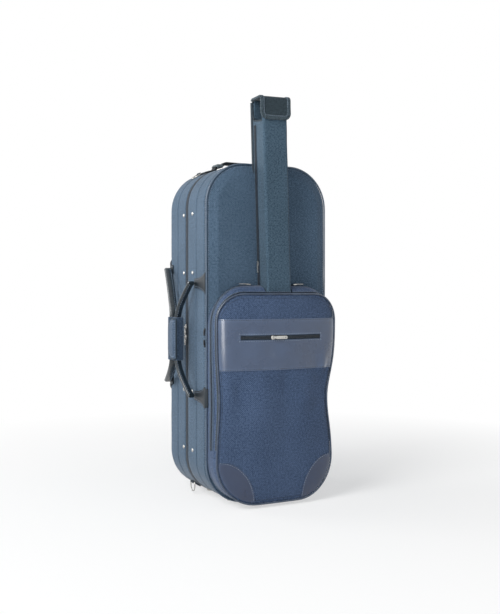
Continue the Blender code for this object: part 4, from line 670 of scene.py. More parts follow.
def round_section(radius: float, sides: int = 10) -> Callable[[float], list[Flat]]:
    """A circle of one radius all along.

    Args:
        radius: the circle's radius.
        sides: how many sides it has.

    Returns:
        The section for sweep.
    """
    turns = [2 * math.pi * side / sides for side in range(sides)]
    ring = arc((0.0, 0.0), radius, turns)
    return lambda share: ring


def flat_section(thick: float, wide: float, radius: float, steps: int = 3) -> Callable[[float], list[Flat]]:
    """A flat strap with rounded edges, its thin way along up."""
    ring = [(a, b) for b, a in rounded(wide / 2, -thick / 2, thick / 2, radius, steps)]
    return lambda share: ring


def lathe(profile: Sequence[Flat], base: Point, direction: Sequence[float], steps: int) -> Form:
    """Turn a profile of radius and height about an axis.

    Args:
        profile: pairs of radius and height, first and last on the axis.
        base: where height is zero.
        direction: the axis.
        steps: segments round the axis.

    Returns:
        The turned form.
    """
    aim = Vector((0, 0, 1)).rotation_difference(Vector(direction)).to_matrix()
    turns = [2 * math.pi * step / steps for step in range(steps)]
    rings = []
    for radius, height in profile[1:-1]:
        ring = [aim @ Vector((radius * math.cos(turn), radius * math.sin(turn), height)) for turn in turns]
        rings.append([tuple(Vector(base) + point) for point in ring])
    form = loft(rings, caps=(False, False))
    for end, ring_start, level in ((0, 0, profile[0][1]), (-1, (len(rings) - 1) * steps, profile[-1][1])):
        tip = Vector(base) + aim @ Vector((0, 0, level))
        centre = len(form.points)
        form.points.append(tuple(tip))
        for step in range(steps):
            near, far = ring_start + step, ring_start + (step + 1) % steps
            form.faces.append((centre, far, near) if end == 0 else (centre, near, far))
            form.groups.append(0)
    return form


def box_map(mesh: bpy.types.Mesh) -> None:
    """Lay the weave flat on each face from the side that it faces most, in metres.

    Args:
        mesh: the mesh that gets the map.
    """
    layer = mesh.uv_layers.new(name=WEAVE_MAP)
    count = len(mesh.loops)
    coordinates = np.zeros(len(mesh.vertices) * 3)
    mesh.vertices.foreach_get("co", coordinates)
    corners = np.zeros(count, int)
    mesh.loops.foreach_get("vertex_index", corners)
    places = coordinates.reshape(-1, 3)[corners]
    sizes = np.zeros(len(mesh.polygons), int)
    mesh.polygons.foreach_get("loop_total", sizes)
    normals = np.zeros(len(mesh.polygons) * 3)
    mesh.polygons.foreach_get("normal", normals)
    facing = np.repeat(np.abs(normals.reshape(-1, 3)).argmax(axis=1), sizes)
    first = np.where(facing == 0, places[:, 1], places[:, 0])
    second = np.where(facing == 2, places[:, 1], places[:, 2])
    layer.data.foreach_set("uv", np.stack([first, second], axis=1).ravel())


def linked(name: str, data: bpy.types.ID) -> bpy.types.Object:
    """Put an object with the given data into the scene.

    Args:
        name: its name.
        data: its mesh, lamp or camera.

    Returns:
        The object.
    """
    obj = bpy.data.objects.new(name, data)
    bpy.context.scene.collection.objects.link(obj)
    return obj


def mesh_of(name: str, maker: bmesh.types.BMesh) -> bpy.types.Mesh:
    """Turn a bmesh, which is used up, into a mesh.

    Args:
        name: the mesh's name.
        maker: the bmesh.

    Returns:
        The mesh.
    """
    mesh = bpy.data.meshes.new(name)
    maker.to_mesh(mesh)
    maker.free()
    return mesh


@dataclass
class Piece:
    """How a finished mesh is placed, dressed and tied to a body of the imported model."""

    name: str
    body: str
    finishes: Sequence[Finish]
    replaces: Sequence[str] = ()
    slot: str = ""
    sharp_from: float = 40.0
    fill: float | None = None

    def from_form(self, form: Form) -> bpy.types.Object:
        """Build the object from a closed form.

        Args:
            form: the form, in the case's own axes.

        Returns:
            The dressed object.
        """
        maker = form.maker()
        bmesh.ops.recalc_face_normals(maker, faces=maker.faces)
        return self.from_bmesh(maker)

    def from_bmesh(self, maker: bmesh.types.BMesh, shift: bool = True) -> bpy.types.Object:
        """Build the object from a bmesh, which is used up.

        Args:
            maker: the mesh in the making.
            shift: whether the datum still has to move it.

        Returns:
            The dressed object.
        """
        mesh = mesh_of(self.name, maker)
        if shift:
            mesh.transform(Matrix.Translation(DATUM.shift))
        return self.dress(linked(self.name, mesh))

    def dress(self, obj: bpy.types.Object) -> bpy.types.Object:
        """Give the object its finish, weave map, shading and body.

        Args:
            obj: a mesh object at the origin.

        Returns:
            The same object.
        """
        mesh = obj.data
        mesh.materials.clear()
        for finish in self.finishes:
            mesh.materials.append(finish.material())
        if WEAVE_MAP not in mesh.uv_layers:
            box_map(mesh)
        mesh.shade_smooth()
        mesh.set_sharp_from_angle(angle=math.radians(self.sharp_from))
        if self.body:
            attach(obj, self.body)
        if self.replaces:
            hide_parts(*self.replaces)
        LOG.info("%s: %d faces on %s", obj.name, len(mesh.polygons), self.body)
        return obj


def unpacked(node: str) -> bmesh.types.BMesh:
    """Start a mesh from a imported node, with its loose triangles merged.

    Args:
        node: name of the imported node.

    Returns:
        The mesh in the making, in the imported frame.
    """
    maker = bmesh.new()
    maker.from_mesh(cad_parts[node].data)
    bmesh.ops.remove_doubles(maker, verts=maker.verts, dist=MERGE)
    return maker


def refined(node: str, width: float) -> bmesh.types.BMesh:
    """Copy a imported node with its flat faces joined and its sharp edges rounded.

    Args:
        node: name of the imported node.
        width: width of the rounding, in metres.

    Returns:
        The rounded copy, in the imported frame.
    """
    maker = unpacked(node)
    level = math.radians(LEVEL_WITHIN)
    bmesh.ops.dissolve_limit(maker, angle_limit=level, verts=maker.verts, edges=maker.edges)
    bend = math.radians(ROUNDED_FROM)
    sharp = [edge for edge in maker.edges if edge.is_manifold and edge.calc_face_angle(0.0) > bend]
    bmesh.ops.bevel(
        maker, geom=sharp, offset=width, offset_type="OFFSET", segments=2, profile=0.5, affect="EDGES",
        clamp_overlap=True
    )
    bmesh.ops.recalc_face_normals(maker, faces=maker.faces)
    return maker


def refine(names: Sequence[str], body: str, finish: Finish, slot: str, width: float = 0.0004) -> None:
    """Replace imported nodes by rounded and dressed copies.

    Args:
        names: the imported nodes, one after another.
        body: the body that they ride on.
        finish: their finish.
        slot: the record's material slot.
        width: width of the rounding, in metres.
    """
    for name in names:
        piece = Piece(f"{name}_looks", body, [finish], [name], slot, sharp_from=30)
        piece.from_bmesh(refined(name, width), shift=False)


def walled(form: Form, thickness: float, outward: bool = False) -> bmesh.types.BMesh:
    """Give an open sheet a wall.

    Args:
        form: the sheet, with its faces turned to the side that is seen.
        thickness: the wall's thickness.
        outward: whether the wall grows towards the side that is seen.

    Returns:
        The closed sheet.
    """
    return thicken(form.maker(), thickness, outward)


def thicken(maker: bmesh.types.BMesh, thickness: float, outward: bool = False) -> bmesh.types.BMesh:
    """Solidify a sheet that is still in the making.

    Args:
        maker: the sheet, which is used up.
        thickness: the wall's thickness.
        outward: whether the wall grows towards the side that is seen.

    Returns:
        The closed sheet.
    """
    obj = linked("sheet", mesh_of("sheet", maker))
    wall = obj.modifiers.new("wall", "SOLIDIFY")
    wall.thickness = thickness
    wall.offset = 1.0 if outward else -1.0
    wall.use_even_offset = False
    made = baked(obj)
    closed = bmesh.new()
    closed.from_mesh(made)
    bpy.data.meshes.remove(made)
    return closed


def baked(obj: bpy.types.Object) -> bpy.types.Mesh:
    """Evaluate an object into a plain mesh and remove the object.

    Args:
        obj: the object, with its modifiers.

    Returns:
        The mesh.
    """
    bpy.context.view_layer.update()
    graph = bpy.context.evaluated_depsgraph_get()
    mesh = bpy.data.meshes.new_from_object(obj.evaluated_get(graph))
    bpy.data.objects.remove(obj, do_unlink=True)
    return mesh


# Rows of stitches, teeth and domes


@dataclass(frozen=True)
class Rail:
    """A path for a row, with the direction that each of its items faces."""

    points: Sequence[Point]
    facing: Sequence[Point] | Point
    closed: bool = False


@dataclass(frozen=True)
class Row:
    """Geometry Nodes that repeat one small rounded body along rails.

    The size is along the rail, across it and standing up from it.
    """

    speck: Speck
    size: Point
    spacing: float
    finish: Finish
    wander: float = 0.06
    seed: int = 7

    def tree(self) -> bpy.types.NodeTree:
        """Build the node tree.

        Returns:
            A tree with named inputs for spacing, size, fineness and wander.
        """
        tree = bpy.data.node_groups.new("row of items", "GeometryNodeTree")
        for name, kind in (
            ("Geometry", "Geometry"), ("Spacing", "Float"), ("Item size", "Vector"), ("Fineness", "Int"),
            ("Wander", "Float")
        ):
            tree.interface.new_socket(name, in_out="INPUT", socket_type=f"NodeSocket{kind}")
        tree.interface.new_socket("Geometry", in_out="OUTPUT", socket_type="NodeSocketGeometry")
        given = add_node(tree, "NodeGroupInput").outputs
        rail = add_node(tree, "GeometryNodeMeshToCurve", {"Mesh": given["Geometry"]})
        even = add_node(
            tree, "GeometryNodeResampleCurve", {"Curve": rail, "Length": given["Spacing"]}, mode="LENGTH"
        )
        tangent = add_node(tree, "GeometryNodeInputTangent")
        outward = add_node(
            tree, "GeometryNodeInputNamedAttribute", {"Name": "facing"}, data_type="FLOAT_VECTOR"
        )
        along = add_node(tree, "FunctionNodeAlignRotationToVector", {"Vector": tangent}, axis="X")
        upright = add_node(
            tree, "FunctionNodeAlignRotationToVector", {"Rotation": along, "Vector": outward}, axis="Z",
            pivot_axis="X"
        )
        low = add_node(tree, "ShaderNodeMath", {0: given["Wander"], 1: -1.0}, operation="MULTIPLY")
        stray = add_node(
            tree, "FunctionNodeRandomValue", {2: low, 3: given["Wander"], "Seed": self.seed},
            data_type="FLOAT"
        )
        lean = add_node(tree, "ShaderNodeCombineXYZ", {"Z": stray.outputs[1]})
        turned = add_node(
            tree, "FunctionNodeRotateRotation", {"Rotation": upright, "Rotate By": lean},
            rotation_space="LOCAL"
        )
        item = add_node(tree, "GeometryNodeMeshIcoSphere", {"Radius": 0.5, "Subdivisions": given["Fineness"]})
        placed = add_node(
            tree, "GeometryNodeInstanceOnPoints",
            {"Points": even, "Instance": item, "Rotation": turned, "Scale": given["Item size"]}
        )
        real = add_node(tree, "GeometryNodeRealizeInstances", {"Geometry": placed})
        dressed = add_node(
            tree, "GeometryNodeSetMaterial", {"Geometry": real, "Material": self.finish.material()}
        )
        add_node(tree, "NodeGroupOutput", {"Geometry": dressed})
        return tree

    def build(self, name: str, body: str, rails: Sequence[Rail], slot: str) -> bpy.types.Object:
        """Lay the row along its rails as one mesh.

        Args:
            name: the new piece's name.
            body: the body that it rides on.
            rails: paths in the case's own axes.
            slot: the record's material slot.

        Returns:
            The piece.
        """
        mesh = bpy.data.meshes.new(name)
        points, edges, facing = [], [], []
        for rail in rails:
            start, count = len(points), len(rail.points)
            points += [tuple(Vector(point) + DATUM.shift) for point in rail.points]
            single = isinstance(rail.facing[0], (int, float))
            facing += [rail.facing] * count if single else list(rail.facing)
            edges += [(start + index, start + index + 1) for index in range(count - 1)]
            edges += [(start + count - 1, start)] if rail.closed else []
        mesh.from_pydata(points, edges, [])
        mesh.attributes.new("facing", "FLOAT_VECTOR", "POINT").data.foreach_set(
            "vector", np.array(facing, float).ravel()
        )
        obj = linked(name, mesh)
        nodes = obj.modifiers.new("row", "NODES")
        nodes.node_group = self.tree()
        values = {
            "Spacing": self.spacing, "Item size": self.size, "Fineness": self.speck.fineness,
            "Wander": self.wander
        }
        for item in nodes.node_group.interface.items_tree:
            if item.in_out == "INPUT" and item.name in values:
                nodes[item.identifier] = values[item.name]
        return Piece(name, body, [self.finish], slot=slot, sharp_from=180).dress(linked(name, baked(obj)))


SEAM_ROW = Row(Speck.STITCH, (0.0040, 0.0012, 0.0009), 0.0056, THREAD)
DARK_SEAM_ROW = Row(Speck.STITCH, (0.0040, 0.0011, 0.0008), 0.0056, DARK_THREAD)
COIL_ROW = Row(Speck.TOOTH, (0.0014, 0.0034, 0.0019), 0.0020, COIL, wander=0.0)


# Case halves


def edge_share(value: float, low: float, high: float) -> float:
    """Rise smoothly from 0 at low to 1 at high."""
    share = min(1.0, max(0.0, (value - low) / (high - low)))
    return share * share * (3 - 2 * share)


def ripple(x: float, y: float, z: float, wavelength: float, offset: float = 0.0) -> float:
    """Smooth noise between about -1 and 1, with features of the given wavelength."""
    return noise.noise(Vector((x / wavelength + offset, y / wavelength, z / wavelength)))


@dataclass
class CaseShells:
    """The two fabric-covered halves, with their seams and brushed lining."""

    wall: float = 0.007
    rebate: float = 0.0018
    rebate_reach: float = 0.0076
    rear_rounding: float = REAR_ROUNDING
    front_rounding: float = 0.004
    front_seams: tuple[float, ...] = (0.0575, 0.1035)
    rear_seams: tuple[float, ...] = (0.055,)
    seam_depth: float = 0.0012
    rear_crown: float = 0.0022
    front_crown: float = 0.0095
    bevel: float = 0.021
    face_steps: tuple[float, ...] = (
        0.003, 0.006, 0.010, 0.014, 0.018, 0.021, 0.024, 0.027, 0.031, 0.038, 0.047
    )
    face_shares: tuple[float, ...] = (0.92, 0.84, 0.74, 0.62, 0.50, 0.38, 0.25, 0.10)
    seam_section: tuple[Flat, ...] = (
        (-0.0018, 0.0), (-0.0009, 0.55), (0.0, 1.0), (0.0009, 0.55), (0.0018, 0.0)
    )

    def side_profile(self, depth: float, rounding: float, seams: Sequence[float]) -> list[Flat]:
        """Inset and distance from the parting plane, from the rim over the side to the flat back.

        Args:
            depth: how deep the half is.
            rounding: radius of its outer edge.
            seams: where the seams run round the side.

        Returns:
            The profile's points.
        """
        profile = [(self.rebate, RIM_GAP), (self.rebate, self.rebate_reach)]
        profile += [(0.0007, self.rebate_reach + 0.0001), (0.0, self.rebate_reach + 0.0010)]
        flat_end = depth - rounding
        last = self.rebate_reach + 0.004
        for seam in seams:
            count = max(2, round((seam - last) / 0.012))
            profile += [(0.0, float(y)) for y in np.linspace(last + 0.004, seam - 0.0034, count)]
            for offset, share in self.seam_section:
                profile.append((self.seam_depth * share, seam + offset))
            last = seam
        stations = np.linspace(last + 0.0034, flat_end - 0.002, max(2, round((flat_end - last) / 0.012)))
        profile += [(0.0, float(y)) for y in stations]
        steps = 12 if rounding > 0.01 else 4
        for step in range(steps + 1):
            turn = step * math.pi / 2 / steps
            profile.append((rounding * (1 - math.cos(turn)), flat_end + rounding * math.sin(turn)))
        return profile

    def build_half(self, sign: int) -> None:
        """Build one half.

        Args:
            sign: -1 for the front half, 1 for the rear half.
        """
        name = "front" if sign < 0 else "rear"
        depth = -FRONT_FACE if sign < 0 else REAR_FACE
        rounding = self.front_rounding if sign < 0 else self.rear_rounding
        seams = self.front_seams if sign < 0 else self.rear_seams
        crown = self.front_crown if sign < 0 else self.rear_crown
        rings = []
        for inset, y in self.side_profile(depth, rounding, seams):
            slack = 0.0004 * edge_share(y, 0.012, 0.030)
            ring = []
            for (x, z), (nx, nz) in zip(case_ring(inset), case_normals()):
                swell = slack * ripple(x, y * 2, z, 0.045)
                ring.append((x + nx * swell, sign * y, z + nz * swell))
            rings.append(ring)
        for past in self.face_steps:
            ring = case_ring(rounding + past)
            rings.append([(x, sign * self.face(x, z, past, depth, crown), z) for x, z in ring])
        flat = case_ring(rounding + self.face_steps[-1])
        for share in self.face_shares:
            ring = shrunk(flat, share, (0.0, CASE_MIDDLE))
            rings.append([(x, sign * self.face(x, z, 0.1, depth, crown), z) for x, z in ring])
        form = loft(rings, caps=(False, True))
        inner = [(self.rebate, RIM_GAP), (self.wall, RIM_GAP)]
        bend = max(rounding - self.wall, 0.003)
        floor = depth - self.wall
        inner += [(self.wall, 0.02), (self.wall, floor - bend)]
        inner += [
            (self.wall + bend * (1 - math.cos(turn)), floor - bend + bend * math.sin(turn))
            for turn in (step * math.pi / 12 for step in range(1, 7))
        ]
        lining = [[(x, sign * y, z) for x, z in case_ring(inset)] for inset, y in inner]
        form.take(loft(lining, caps=(False, True)), 1)
        Piece(
            f"{name}_case_half", f"{name}_half", [CASE_CANVAS, LINING], [f"{name}_shell"], "case_fabric"
        ).from_form(form)
        rails = [case_rail(sign * (seam + 0.0038), -0.0001) for seam in seams]
        DARK_SEAM_ROW.build(f"{name}_side_stitching", f"{name}_half", rails, "case_fabric")

    def face(self, x: float, z: float, past: float, depth: float, crown: float) -> float:
        """Distance of the padded big face from the parting plane.

        Args:
            x: place across.
            z: height.
            past: distance inwards from where the rounding ends.
            depth: how deep the half is.
            crown: how far the padding stands out.

        Returns:
            The distance.
        """
        rise = bent(min(1.0, past / (2 * self.bevel)), 0.5, 1.0, 1.0, 0.09)
        return depth + crown * rise + 0.0007 * rise * ripple(x, depth, z, 0.09)

    def build(self) -> None:
        """Build both halves."""
        self.build_half(1)
        self.build_half(-1)


def case_ring(inset: float) -> list[Flat]:
    """The case outline at an inset, with points along its straight sides too."""
    return rounded(HALF_WIDTH - inset, CASE_LOW + inset, CASE_HIGH - inset, CORNER - inset, 18, runs=(30, 7))


def case_normals() -> list[Flat]:
    """Outward directions for the points of a case ring."""
    step = 0.010
    return [((x - a) / step, (z - b) / step) for (x, z), (a, b) in zip(case_ring(0.0), case_ring(step))]


def case_rail(y: float, inset: float) -> Rail:
    """A rail round the case's side at a depth, facing outwards."""
    facing = [(nx, 0.0, nz) for nx, nz in case_normals()]
    return Rail([(x, y, z) for x, z in case_ring(inset)], facing, True)


@dataclass
class ClosureZipper:
    """The zipper round the parting plane: a tape and a coil on each half."""

    proud: float = 0.0003
    depth: float = 0.0015
    near: float = 0.0003
    far: float = 0.0073
    coil_level: float = 0.0001
    coil_from_parting: float = 0.0018

    def build_half(self, sign: int) -> None:
        """Lay the tape, its coil and its line of stitches on one half.

        Args:
            sign: -1 for the front half, 1 for the rear half.
        """
        name = "front" if sign < 0 else "rear"
        section = (
            (self.depth, self.near), (-self.proud + 0.0003, self.near), (-self.proud, self.near + 0.0003),
            (-self.proud, self.far - 0.0003), (-self.proud + 0.0003, self.far), (self.depth, self.far)
        )
        rings = [[(x, sign * y, z) for x, z in case_ring(inset)] for inset, y in section]
        tape = loft(rings, caps=(False, False), joined=True)
        Piece(f"{name}_tape", f"{name}_half", [TAPE], [f"{name}_zipper_tape"], "zipper_tape").from_form(tape)
        coil = case_rail(sign * self.coil_from_parting, self.coil_level)
        COIL_ROW.build(f"{name}_coil", f"{name}_half", [coil], "zipper_tape")
        seam = case_rail(sign * (self.far - 0.0013), -self.proud)
        DARK_SEAM_ROW.build(f"{name}_tape_stitching", f"{name}_half", [seam], "zipper_tape")

    def build(self) -> None:
        """Build both sides and the two sliders with their pulls."""
        self.build_half(1)
        self.build_half(-1)
        for label in ("upper", "lower"):
            refine([f"{label}_zip_slider"], f"{label}_slider", NICKEL, "steel")
            refine([f"{label}_zip_pull"], f"{label}_pull", NICKEL, "steel", 0.0003)
            refine([f"{label}_sleeve_slider"], f"{label}_sleeve", BLACK_LACQUER, "dark_metal")


@dataclass
class Trim:
    """Piping, rivets, feet and hinges of the case."""

    piping_radius: float = 0.0020
    piping_offset: float = 0.0005
    rivet_levels: tuple[float, ...] = (-0.285, -0.143, 0.143, 0.285)
    rivet_lines: tuple[float, float] = (-0.036, 0.018)
    strip_end: float = 0.015
    head_radius: float = 0.0045
    head_height: float = 0.0022
    foot_profile: tuple[Flat, ...] = (
        (0.0, 0.0), (0.0045, 0.0), (0.0062, 0.0006), (0.0074, 0.0020), (0.0080, 0.0040), (0.0080, 0.0085),
        (0.0, 0.0085)
    )
    foot_spread: float = 0.078
    feet: tuple[float, float] = (-0.070, 0.045)
    hinge_levels: tuple[float, float] = (0.607, 0.207)
    screw_offsets: tuple[float, ...] = (-0.024, 0.0, 0.024)

    def piping(self) -> None:
        """Run the piping round the front panel, with the stitches that hold it."""
        path = [(x, FRONT_FACE - self.piping_offset, z) for x, z in case_ring(-self.piping_offset)]
        form = sweep(path, round_section(self.piping_radius), (0, -1, 0), closed=True)
        Piece("front_panel_piping", "front_half", [PIPING_VINYL], ["front_piping"], "piping").from_form(form)
        rail = [(x, FRONT_FACE - 0.0004, z) for x, z in case_ring(0.0052)]
        SEAM_ROW.build("front_panel_stitching", "front_half", [Rail(rail, (0, -1, 0), True)], "case_fabric")
        side = case_rail(FRONT_FACE + 0.0062, -0.0001)
        DARK_SEAM_ROW.build("front_edge_stitching", "front_half", [side], "case_fabric")

    def rivets(self) -> None:
        """Build both lines of dome rivets with their inner strips."""
        low = CASE_MIDDLE + self.rivet_levels[0] - self.strip_end
        high = CASE_MIDDLE + self.rivet_levels[-1] + self.strip_end
        for y, name in zip(self.rivet_lines, ("front", "rear")):
            inner = LEFT_FACE + 0.0073
            outline = rounded(0.008, low, high, 0.004, 4, y)
            rings = [[(x, a, b) for a, b in outline] for x in (inner, inner + 0.0020)]
            form = loft(rings)
            for level in self.rivet_levels:
                profile = [(0.0, -0.0005), (self.head_radius * 0.96, -0.0005), (self.head_radius, 0.0004)]
                for step in range(1, 7):
                    turn = step * math.pi / 14
                    profile.append((self.head_radius * math.cos(turn), self.head_height * math.sin(turn)))
                profile.append((0.0, self.head_height))
                dome = lathe(profile, (LEFT_FACE - 0.0003, y, CASE_MIDDLE + level), (-1, 0, 0), 20)
                form.take(dome)
            piece = Piece(f"{name}_rivets", f"{name}_half", [NICKEL], [f"{name}_rivet_strip"], "steel")
            piece.from_form(form)

    def feet_studs(self) -> None:
        """Build the four stud feet."""
        
        for y, half in zip(self.feet, ("front", "rear")):
            for x, side in ((-self.foot_spread, "left"), (self.foot_spread, "right")):
                piece = Piece(
                    f"{half}_{side}_stud", f"{half}_half", [NICKEL], [f"{half}_{side}_foot"], "steel"
                )
                piece.from_form(lathe(self.foot_profile, (x, y, 0.0), (0, 0, 1), 28))

    def hinges(self) -> None:
        """Dress the leaf hinges and screw them on."""
        for label in ("upper", "lower"):
            refine(
                [f"hinge_{label}_rear_leaf", f"hinge_{label}_pin"], "rear_half", HINGE_STEEL, "steel", 0.0003
            )
            refine([f"hinge_{label}_front_leaf"], "front_half", HINGE_STEEL, "steel", 0.0003)
        screws = Row(
            Speck.DOME, (0.0056, 0.0056, 0.0020), self.screw_offsets[1] - self.screw_offsets[0], HINGE_STEEL,
            0.0
        )
        for sign, half in ((1, "rear"), (-1, "front")):
            rails = [
                Rail(
                    [(HALF_WIDTH + 0.0022, sign * 0.0155, level + offset) for offset in self.screw_offsets],
                    (1, 0, 0)
                )
                for level in self.hinge_levels
            ]
            screws.build(f"{half}_hinge_screws", f"{half}_half", rails, "steel")

    def build(self) -> None:
        """Build all the trim."""
        self.piping()
        self.rivets()
        self.feet_studs()
        self.hinges()


@dataclass(frozen=True)
class Handle:
    """One carry handle: depths of its anchors, of its grip and of its fans' wide ends, and its spans."""

    half: str
    axis_y: float
    grip_y: float
    base_y: float
    spans: tuple[float, float]


@dataclass
class CarryHandles:
    """Two padded handles, the leather fans that hold them and the padded wrap that joins them."""

    middle: float = 0.3905
    axis_x: float = -0.1726
    strap_x: float = -0.1895
    handles: tuple[Handle, ...] = (
        Handle("front", -0.060, -0.0142, -0.1145, (0.134, 0.134)),
        Handle("rear", 0.094, 0.0142, 0.1200, (0.170, 0.110))
    )
    strap_wide: float = 0.018
    strap_thick: float = 0.009
    lead: float = 0.0035
    grip_length: float = 0.104
    grip_wall: float = 0.0039
    anchor_tip: float = 0.022
    anchor_base: float = 0.050
    anchor_flare: float = 2.4
    anchor_overlap: float = 0.008
    wrap_seam: float = 0.88
    wrap_curl: float = 0.009
    wrap_shares: tuple[float, ...] = (0.15, 0.35, 0.55, 0.72, 0.84, 0.91, 0.955, 0.985, 1.0)
    tail_path: tuple[Flat, ...] = (
        (-0.1630, -0.1090), (-0.1634, -0.1140), (-0.1634, -0.1180), (-0.1622, -0.1206), (-0.1600, -0.1220),
        (-0.1572, -0.1224), (-0.1545, -0.1214), (-0.1515, -0.1196)
    )

    def loop(self, handle: Handle) -> tuple[Vector, Vector, float]:
        """Where a handle's loop starts, the way that it leads out and how far.

        Args:
            handle: the handle.

        Returns:
            Start, direction and reach.
        """
        start = Vector((self.axis_x, handle.axis_y, self.middle))
        out = Vector((self.strap_x, handle.grip_y, self.middle)) - start
        return start, out.normalized(), out.length

    def across(self, handle: Handle) -> Vector:
        """Direction along a strap's wide way."""
        _, out, _ = self.loop(handle)
        return Vector((out.y, -out.x, 0))

    def path(self, handle: Handle) -> list[Point]:
        """The strap's middle line from the upper anchor through the grip to the lower one.

        Args:
            handle: the handle.

        Returns:
            Points along the strap.
        """
        start, out, reach = self.loop(handle)
        grip_end = self.grip_length / 2 + 0.0006
        halves = []
        for sign, span in zip((1, -1), handle.spans):
            half = [start + Vector((0, 0, sign * span))]
            for t in np.linspace(0, 1, 30):
                weights = ((1 - t) ** 3, 3 * t * (1 - t) ** 2, 3 * t**2 * (1 - t), t**3)
                along = self.lead + (reach - self.lead) * (0.35 * weights[1] + 0.95 * weights[2] + weights[3])
                rise = weights[0] + 0.75 * weights[1] + 0.30 * weights[2]
                half.append(
                    start + out * along + Vector((0, 0, sign * (grip_end + (span - grip_end) * rise)))
                )
            halves.append(half)
        return [tuple(point) for point in halves[0] + halves[1][::-1]]

    def strap(self, handle: Handle) -> None:
        """Build one glazed strap with its raised welts and stitches.

        Args:
            handle: the handle.
        """
        name, body = f"{handle.half}_handle", f"{handle.half}_carry_handle"
        path, across = self.path(handle), self.across(handle)
        form = sweep(path, flat_section(self.strap_wide, self.strap_thick, 0.0043, 5), across)
        for sign in (-1, 1):
            welt = [tuple(Vector(point) + across * sign * (self.strap_wide / 2 - 0.0002)) for point in path]
            form.take(sweep(welt, round_section(0.0011, 8), across))
        Piece(f"{name}_strap", body, [STRAP_LEATHER], [name], "strap_leather").from_form(form)
        rails = []
        for sign in (-1, 1):
            points, facing = [], []
            for index in range(2, len(path) - 2):
                along = (Vector(path[index + 1]) - Vector(path[index - 1])).normalized()
                face = across.cross(along).normalized() * sign
                points.append(tuple(Vector(path[index]) + face * self.strap_thick / 2 - across * 0.0052))
                facing.append(tuple(face))
            rails.append(Rail(points, facing))
        SEAM_ROW.build(f"{name}_stitching", body, rails, "strap_leather")

    def grip(self, handle: Handle) -> None:
        """Build the padded sleeve round a strap's middle.

        Args:
            handle: the handle.
        """
        name, across = f"{handle.half}_handle_grip", self.across(handle)
        wide = self.strap_wide / 2 + self.grip_wall
        thick = self.strap_thick / 2 + self.grip_wall
        half = self.grip_length / 2
        path = [
            (self.strap_x, handle.grip_y, self.middle + half * s)
            for s in (-1, -0.99, -0.96, *np.linspace(-0.9, 0.9, 15), 0.96, 0.99, 1)
        ]

        def section(share: float) -> list[Flat]:
            """The sleeve's section, drawn in at both sewn ends.

            Args:
                share: where along the sleeve.

            Returns:
                The section.
            """
            end = 1 - abs(2 * share - 1)
            scale = 0.86 + 0.14 * min(1.0, end / 0.10) ** 0.5
            ring = rounded(thick * scale, -wide * scale, wide * scale, 0.0058 * scale, 6)
            return [(b, a) for a, b in ring]

        body = f"{handle.half}_carry_handle"
        piece = Piece(f"{name}_pad", body, [WRAP_NYLON], [name], "wrap_fabric", fill=0.5)
        piece.from_form(sweep(path, section, across))

    def wrap(self) -> None:
        """Build the D-shaped wrap with its bound edge and sewn D."""
        low, high = (corner - DATUM.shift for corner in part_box("handle_wrap_flap"))
        middle_y, middle_z = (low.y + high.y) / 2, self.middle
        half_z = (high.z - low.z) / 2
        radius = half_z * 0.54
        top, small = middle_z + half_z, 0.002
        ring = [(low.y, z) for z in np.linspace(2 * middle_z - top + small, top - small, 14)]
        turns = [math.pi - step * math.pi / 8 for step in range(1, 4)]
        upper = arc((low.y + small, top - small), small, turns)
        upper += [(y, top) for y in np.linspace(low.y + small, high.y - radius, 6)]
        turns = [math.pi / 2 * (1 - step / 10) for step in range(1, 11)]
        upper += arc((high.y - radius, top - radius), radius, turns)
        ring += upper + [(y, 2 * middle_z - z) for y, z in reversed(upper)]

        def bend(y: float) -> float:
            """How far the wrap curls in round the grips at a depth."""
            return 0.0042 * max(0.0, (low.y + self.wrap_curl - y) / self.wrap_curl) ** 2

        rings = []
        for share in self.wrap_shares:
            places = shrunk(ring, share, (middle_y, middle_z))
            swell = 0.0014 * (1 - share**5) - 0.0006 * math.exp(-(((share - self.wrap_seam) / 0.03) ** 2))
            rings.append(
                [
                    (high.x - 0.0020 - swell + bend(y) + 0.0003 * ripple(y, 0, z, 0.012), y, z)
                    for y, z in places
                ]
            )
        for share in reversed(self.wrap_shares):
            places = shrunk(ring, share, (middle_y, middle_z))
            rings.append([(high.x + bend(y), y, z) for y, z in places])
        piece = Piece(
            "handle_wrap_pad", "handle_wrap", [WRAP_NYLON], ["handle_wrap_flap"], "wrap_fabric", fill=0.4
        )
        piece.from_form(loft(rings))
        edge = [(high.x - 0.0010 + bend(y), y, z) for y, z in ring]
        bound = sweep(edge, flat_section(0.0034, 0.0030, 0.0014), (-1, 0, 0), closed=True)
        Piece("handle_wrap_binding", "handle_wrap", [BINDING], slot="wrap_fabric").from_form(bound)
        places = shrunk(ring, self.wrap_seam, (middle_y, middle_z))
        seam = [(high.x - 0.0026 + bend(y), y, z) for y, z in places]
        SEAM_ROW.build("handle_wrap_stitching", "handle_wrap", [Rail(seam, (-1, 0, 0), True)], "wrap_fabric")

    def side_at(self, y: float, stand_off: float) -> tuple[float, Point]:
        """Place and direction of the case's left side at a depth.

        Args:
            y: the depth.
            stand_off: distance out from the side.

        Returns:
            The x there and the outward direction.
        """
        flat_end = REAR_FACE - REAR_ROUNDING
        if y <= flat_end:
            return LEFT_FACE - stand_off, (-1.0, 0.0, 0.0)
        reach = REAR_ROUNDING + stand_off
        turn = math.asin(min(0.999, (y - flat_end) / reach))
        return LEFT_FACE + REAR_ROUNDING - reach * math.cos(turn), (-math.cos(turn), math.sin(turn), 0.0)

